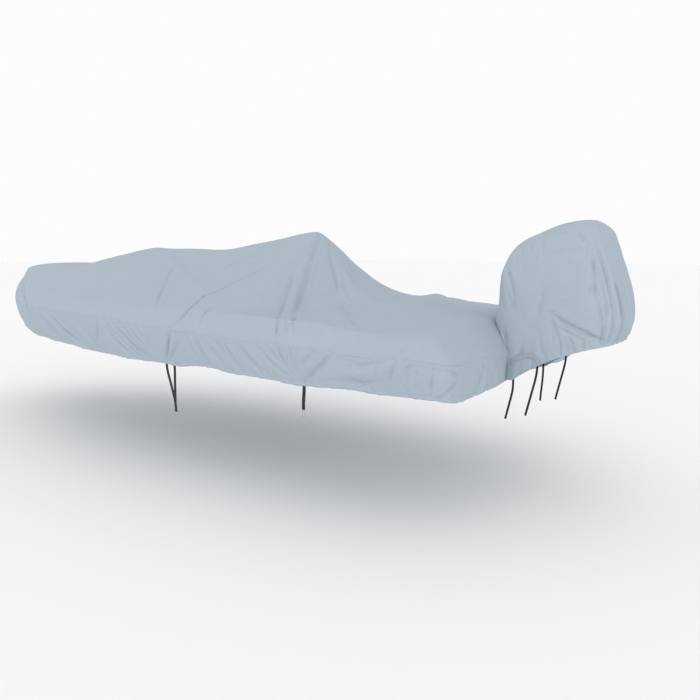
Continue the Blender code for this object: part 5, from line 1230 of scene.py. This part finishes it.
def thread_material():
    mat, tree, bsdf = shader("thread")
    link = tree.links.new
    pos = node(tree, "ShaderNodeTexCoord", -700, 0)
    spot = node(tree, "ShaderNodeTexNoise", -500, 0)
    spot.inputs["Scale"].default_value = 400.0
    link(pos.outputs["Object"], spot.inputs["Vector"])
    ramp = node(tree, "ShaderNodeValToRGB", -300, 0)
    ramp.color_ramp.elements[0].color = (0.335, 0.400, 0.455, 1)
    ramp.color_ramp.elements[1].color = (0.39, 0.455, 0.51, 1)
    link(spot.outputs["Fac"], ramp.inputs["Fac"])
    link(ramp.outputs["Color"], bsdf.inputs["Base Color"])
    bsdf.inputs["Roughness"].default_value = 0.6
    return mat


TONE_A = (0.361, 0.434, 0.495)
TONE_B = (0.374, 0.443, 0.501)
CLOTH_MAT = cloth_material()
THREAD_MAT = thread_material()
WEB_MAT = webbing_material("tie_webbing", (0.030, 0.031, 0.034), 0.45, 0.62)
LOOP_MAT = webbing_material("loop_webbing", (0.41, 0.48, 0.535), 0.88, 0.72)
STEEL_MAT = steel_material()


def finish_piece(obj, mat, slot, *nodes):
    obj.data.materials.clear()
    obj.data.materials.append(mat)
    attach(obj, "root")
    if nodes:
        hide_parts(*nodes)
    return obj


# ------------------------------------------------------------ make the cloth
d_pts, d_faces, d_nrm, d_uv, d_share = deck()
deck_obj = shell("deck_cloth", d_pts, d_faces, d_nrm, CLOTH - 0.0011 * rise_to(d_share, 0.93, 1.0), d_uv)
finish_piece(deck_obj, CLOTH_MAT, "cover_cloth", "deck_panel")

sides = {}
for side, word in ((PORT, "port"), (STBD, "starboard")):
    s_pts, s_faces, s_nrm, s_uv, s_thick, s_more = side_panel(side)
    obj = shell(f"side_cloth_{word}", s_pts, s_faces, s_nrm, s_thick, s_uv)
    finish_piece(obj, CLOTH_MAT, "cover_cloth", f"side_panel_{word}")
    sides[word] = (obj, s_pts, s_faces, s_nrm, s_more)

deck_tree = tree_of(d_pts, d_faces)
side_trees = {side: tree_of(sides[word][1], sides[word][2]) for side, word in ((PORT, "port"), (STBD, "starboard"))}
h_pts, h_faces, h_nrm, h_uv, h_thick = hood()
hood_obj = shell("hood_cloth", h_pts, h_faces, h_nrm, h_thick, h_uv)
finish_piece(hood_obj, CLOTH_MAT, "cover_cloth", "motor_hood")


# ----------------------------------------------------------------- webbing
TIE_COLUMNS = ("node", "kind", "s", "t", "z")
TIES = (
    ("tie_fore_{}_long", "webbing", 2.232, 1.076, 0.835),
    ("tie_fore_{}_long", "webbing", 2.230, 1.076, 0.760),
    ("tie_fore_{}_long", "webbing", 2.206, 1.060, 0.620),
    ("tie_fore_{}_long", "webbing", 2.192, 1.048, 0.520),
    ("tie_fore_{}_long", "webbing", 2.190, 1.044, 0.445),
    ("tie_fore_{}_short", "webbing", 2.150, 1.076, 0.835),
    ("tie_fore_{}_short", "webbing", 2.152, 1.075, 0.760),
    ("tie_fore_{}_short", "webbing", 2.170, 1.063, 0.620),
    ("tie_fore_{}_short", "webbing", 2.184, 1.053, 0.522),
    ("tie_mid_{}", "webbing", 0.995, 1.062, 0.820),
    ("tie_mid_{}", "webbing", 0.996, 1.062, 0.740),
    ("tie_mid_{}", "webbing", 0.998, 1.066, 0.680),
    ("tie_mid_{}", "webbing", 0.997, 1.068, 0.628),
    ("stern_loop_{}", "cloth", -0.012, 0.3000, 0.806),
    ("stern_loop_{}", "cloth", -0.014, 0.3000, 0.866),
    ("stern_loop_{}", "cloth", -0.028, 0.3000, 0.918),
    ("stern_loop_{}", "cloth", -0.060, 0.3000, 0.948),
    ("stern_loop_{}", "cloth", -0.110, 0.3020, 0.965),
    ("stern_loop_{}", "cloth", -0.150, 0.3040, 0.966),
    ("stern_loop_{}", "cloth", -0.178, 0.3050, 0.950),
    ("stern_loop_{}", "cloth", -0.189, 0.3055, 0.915),
    ("tie_stern_{}_fore", "webbing", -0.027, 0.268, 0.835),
    ("tie_stern_{}_fore", "webbing", -0.026, 0.270, 0.740),
    ("tie_stern_{}_fore", "webbing", -0.012, 0.290, 0.640),
    ("tie_stern_{}_fore", "webbing", 0.000, 0.310, 0.560),
    ("tie_stern_{}_aft", "webbing", -0.180, 0.272, 0.945),
    ("tie_stern_{}_aft", "webbing", -0.174, 0.272, 0.850),
    ("tie_stern_{}_aft", "webbing", -0.146, 0.274, 0.720),
    ("tie_stern_{}_aft", "webbing", -0.116, 0.278, 0.590),
)


def strap(name, path, face, width, thick=WEB_T, cols=6, step=0.006):
    """Webbing along a smooth line, with rounded edges and its weave's uv."""
    long = np.linalg.norm(np.diff(np.array(path), axis=0), axis=1).sum()
    line, share = curve_through(path, max(8, int(long / step)))
    face = np.array(face, float)
    face /= np.linalg.norm(face)
    # half round section: width along u, thickness along v
    sec = []
    for k in range(cols + 1):
        sec.append((-1 + 2 * k / cols, 1.0))
    prof = [(-1.0, -0.4), (-0.93, -1.0)] + [(x * 0.86, -1.0) for x, _ in sec[1:-1]] + [(0.93, -1.0), (1.0, -0.4)]
    prof += [(1.0, 0.4), (0.93, 1.0)] + [(x * 0.86, 1.0) for x, _ in reversed(sec[1:-1])] + [(-0.93, 1.0), (-1.0, 0.4)]
    pts, uv = [], []
    for i, p in enumerate(line):
        a, b = line[max(0, i - 1)], line[min(len(line) - 1, i + 1)]
        run = (b - a) / np.linalg.norm(b - a)
        across = np.cross(face, run)
        across /= np.linalg.norm(across)
        out = np.cross(run, across)
        for u, v in prof:
            pts.append(p + across * u * width / 2 + out * v * thick / 2)
            uv.append((u * width / 2, share[i] * long))
    k = len(prof)
    faces = []
    for i in range(len(line) - 1):
        for q in range(k):
            q2 = (q + 1) % k
            faces.append((k * i + q, k * i + q2, k * i + k + q2, k * i + k + q))
    faces.append(tuple(range(k - 1, -1, -1)))
    faces.append(tuple(k * (len(line) - 1) + q for q in range(k)))
    obj = mesh_piece(name, np.array(pts), faces, np.array(uv), sharp=1.1)
    bm = bmesh.new()
    bm.from_mesh(obj.data)
    bmesh.ops.recalc_face_normals(bm, faces=bm.faces[:])
    bm.to_mesh(obj.data)
    bm.free()
    return obj, long


hood_tree = tree_of(h_pts, h_faces)
for name in dict.fromkeys(row[0] for row in TIES):
    rows = [row for row in TIES if row[0] == name]
    for word, y in (("port", 1), ("starboard", -1)):
        path = [(row[2], y * row[3], row[4]) for row in rows]
        loop = "loop" in name
        if loop:
            # lies on the finished hood, a hair clear of it
            path = [tuple(p) for p in curve_through(path, 15)[0]]
            for k, q in enumerate(path):
                loc, n, _, _ = hood_tree.find_nearest(Vector(q), 0.08)
                path[k] = tuple(loc + n * 0.0030)
        wide = 0.028 if loop else (0.014 if "stern" in name else 0.025)
        node_name = name.format(word)
        obj, long = strap("web_" + node_name, path, (0.0, y, 0.0), wide)
        finish_piece(obj, LOOP_MAT if loop else WEB_MAT, "loop_webbing" if loop else "tie_webbing", node_name)

for name in ("hook_mid_port", "hook_mid_starboard"):
    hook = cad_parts[name]
    hook.data.materials.clear()
    hook.data.materials.append(STEEL_MAT)
    hook.data.shade_smooth()


# --------------------------------------------------------------- stitching
def stitches(name, surfaces, line, pitch=0.0065, long=0.0046, wide=0.0009, high=0.0006):
    """A row of top stitches laid on the finished cloth along a line."""
    pts_all, faces_all = [], []
    for pts, faces in surfaces:
        base = len(pts_all)
        pts_all += [tuple(q) for q in pts]
        faces_all += [tuple(int(base + v) for v in f) for f in faces]
    tree = BVHTree.FromPolygons(pts_all, faces_all)
    line = np.array(line)
    d = np.concatenate([[0], np.cumsum(np.linalg.norm(np.diff(line, axis=0), axis=1))])
    count = int(d[-1] / pitch)
    at = (np.arange(count) + 0.5) * pitch
    mid = np.column_stack([np.interp(at, d, line[:, k]) for k in range(3)])
    nxt = np.column_stack([np.interp(at + 0.002, d, line[:, k]) for k in range(3)])
    verts, quads = [], []
    for p, q in zip(mid, nxt):
        hit = tree.find_nearest(Vector(p), 0.06)
        if hit[0] is None:
            continue
        c, n = np.array(hit[0]), np.array(hit[1])
        run = q - p
        run = run - (run @ n) * n
        size = np.linalg.norm(run)
        if size < 1e-6:
            continue
        run /= size
        side = np.cross(n, run)
        k = len(verts)
        a = c + n * 0.00005
        verts += [a - run * long / 2 - n * 0.0003, a + run * long / 2 - n * 0.0003,
                  a - side * wide / 2 - n * 0.0001, a + side * wide / 2 - n * 0.0001,
                  a + n * high, a - n * 0.0006]
        quads += [(k, k + 2, k + 4), (k + 2, k + 1, k + 4), (k + 1, k + 3, k + 4), (k + 3, k, k + 4),
                  (k + 2, k, k + 5), (k + 1, k + 2, k + 5), (k + 3, k + 1, k + 5), (k, k + 3, k + 5)]
    return mesh_piece(name, np.array(verts), quads, None, sharp=None)


def ring_points(extra):
    """A line round the cover, both sides, bow centre to bow centre."""
    h = np.arange(0.0, cover.length, 0.01)
    port = extra(h, 1.0)
    stbd = extra(h, -1.0)
    return np.vstack([port, stbd[::-1]])


def lap_line(up):
    def make(h, side):
        at = cover.at_h(h)
        p = cover.skirt(h, side, at, np.zeros_like(h))
        p[:, 2] += up
        return p
    return make


thread = []
for k, up in enumerate((-0.0055, 0.0030)):
    thread.append((f"thread_seam_{'low' if k == 0 else 'high'}", [(d_pts, d_faces)], ring_points(lap_line(up))))
for word, side in (("port", 1.0), ("starboard", -1.0)):
    obj, pts, faces, nrm, (idx, share, down, H, D) = sides[word]
    row = int(np.argmin(np.abs((down - D)[:, 10] + HEM_WIDE - 0.0005)))
    thread.append((f"thread_hem_{word}", [(pts, faces)], pts[idx[row, :]]))
for name, surfaces, line in thread:
    obj = stitches(name, surfaces, line)
    finish_piece(obj, THREAD_MAT, "cover_cloth")


# ------------------------------------------------------------ floor and light
def floor():
    mesh = bpy.data.meshes.new("floor")
    z = -SUPPORT_Z
    r = 60.0
    mesh.from_pydata([(-r, -r, z), (r, -r, z), (r, r, z), (-r, r, z)], [], [(0, 1, 2, 3)])
    obj = bpy.data.objects.new("floor", mesh)
    bpy.context.scene.collection.objects.link(obj)
    mat, tree, bsdf = shader("floor")
    spot = node(tree, "ShaderNodeTexNoise", -500, 0)
    spot.inputs["Scale"].default_value = 0.8
    ramp = node(tree, "ShaderNodeValToRGB", -300, 0)
    ramp.color_ramp.elements[0].color = (0.90, 0.90, 0.90, 1)
    ramp.color_ramp.elements[1].color = (0.92, 0.92, 0.92, 1)
    tree.links.new(spot.outputs["Fac"], ramp.inputs["Fac"])
    tree.links.new(ramp.outputs["Color"], bsdf.inputs["Base Color"])
    bsdf.inputs["Roughness"].default_value = 0.95
    bsdf.inputs["Specular IOR Level"].default_value = 0.1
    mesh.materials.append(mat)


def sun(name, toward, strength, spread, colour=(1, 1, 1)):
    """A broad soft light; toward is where it shines from."""
    data = bpy.data.lights.new(name, "SUN")
    data.energy = strength
    data.angle = math.radians(spread)
    data.color = colour
    obj = bpy.data.objects.new(name, data)
    obj.rotation_mode = "QUATERNION"
    obj.rotation_quaternion = Vector(toward).to_track_quat("Z", "Y")
    bpy.context.scene.collection.objects.link(obj)


floor()
world = bpy.data.worlds.new("studio")
world.use_nodes = True
world.node_tree.nodes["Background"].inputs["Color"].default_value = (1.0, 1.0, 1.0, 1.0)
world.node_tree.nodes["Background"].inputs["Strength"].default_value = 0.975
bpy.context.scene.world = world
sun("key", (0.30, 0.93, 0.14), 0.62, 30)
sun("fill", (-0.93, 0.33, 0.10), 0.80, 50)
bpy.context.scene.view_settings.view_transform = "Standard"

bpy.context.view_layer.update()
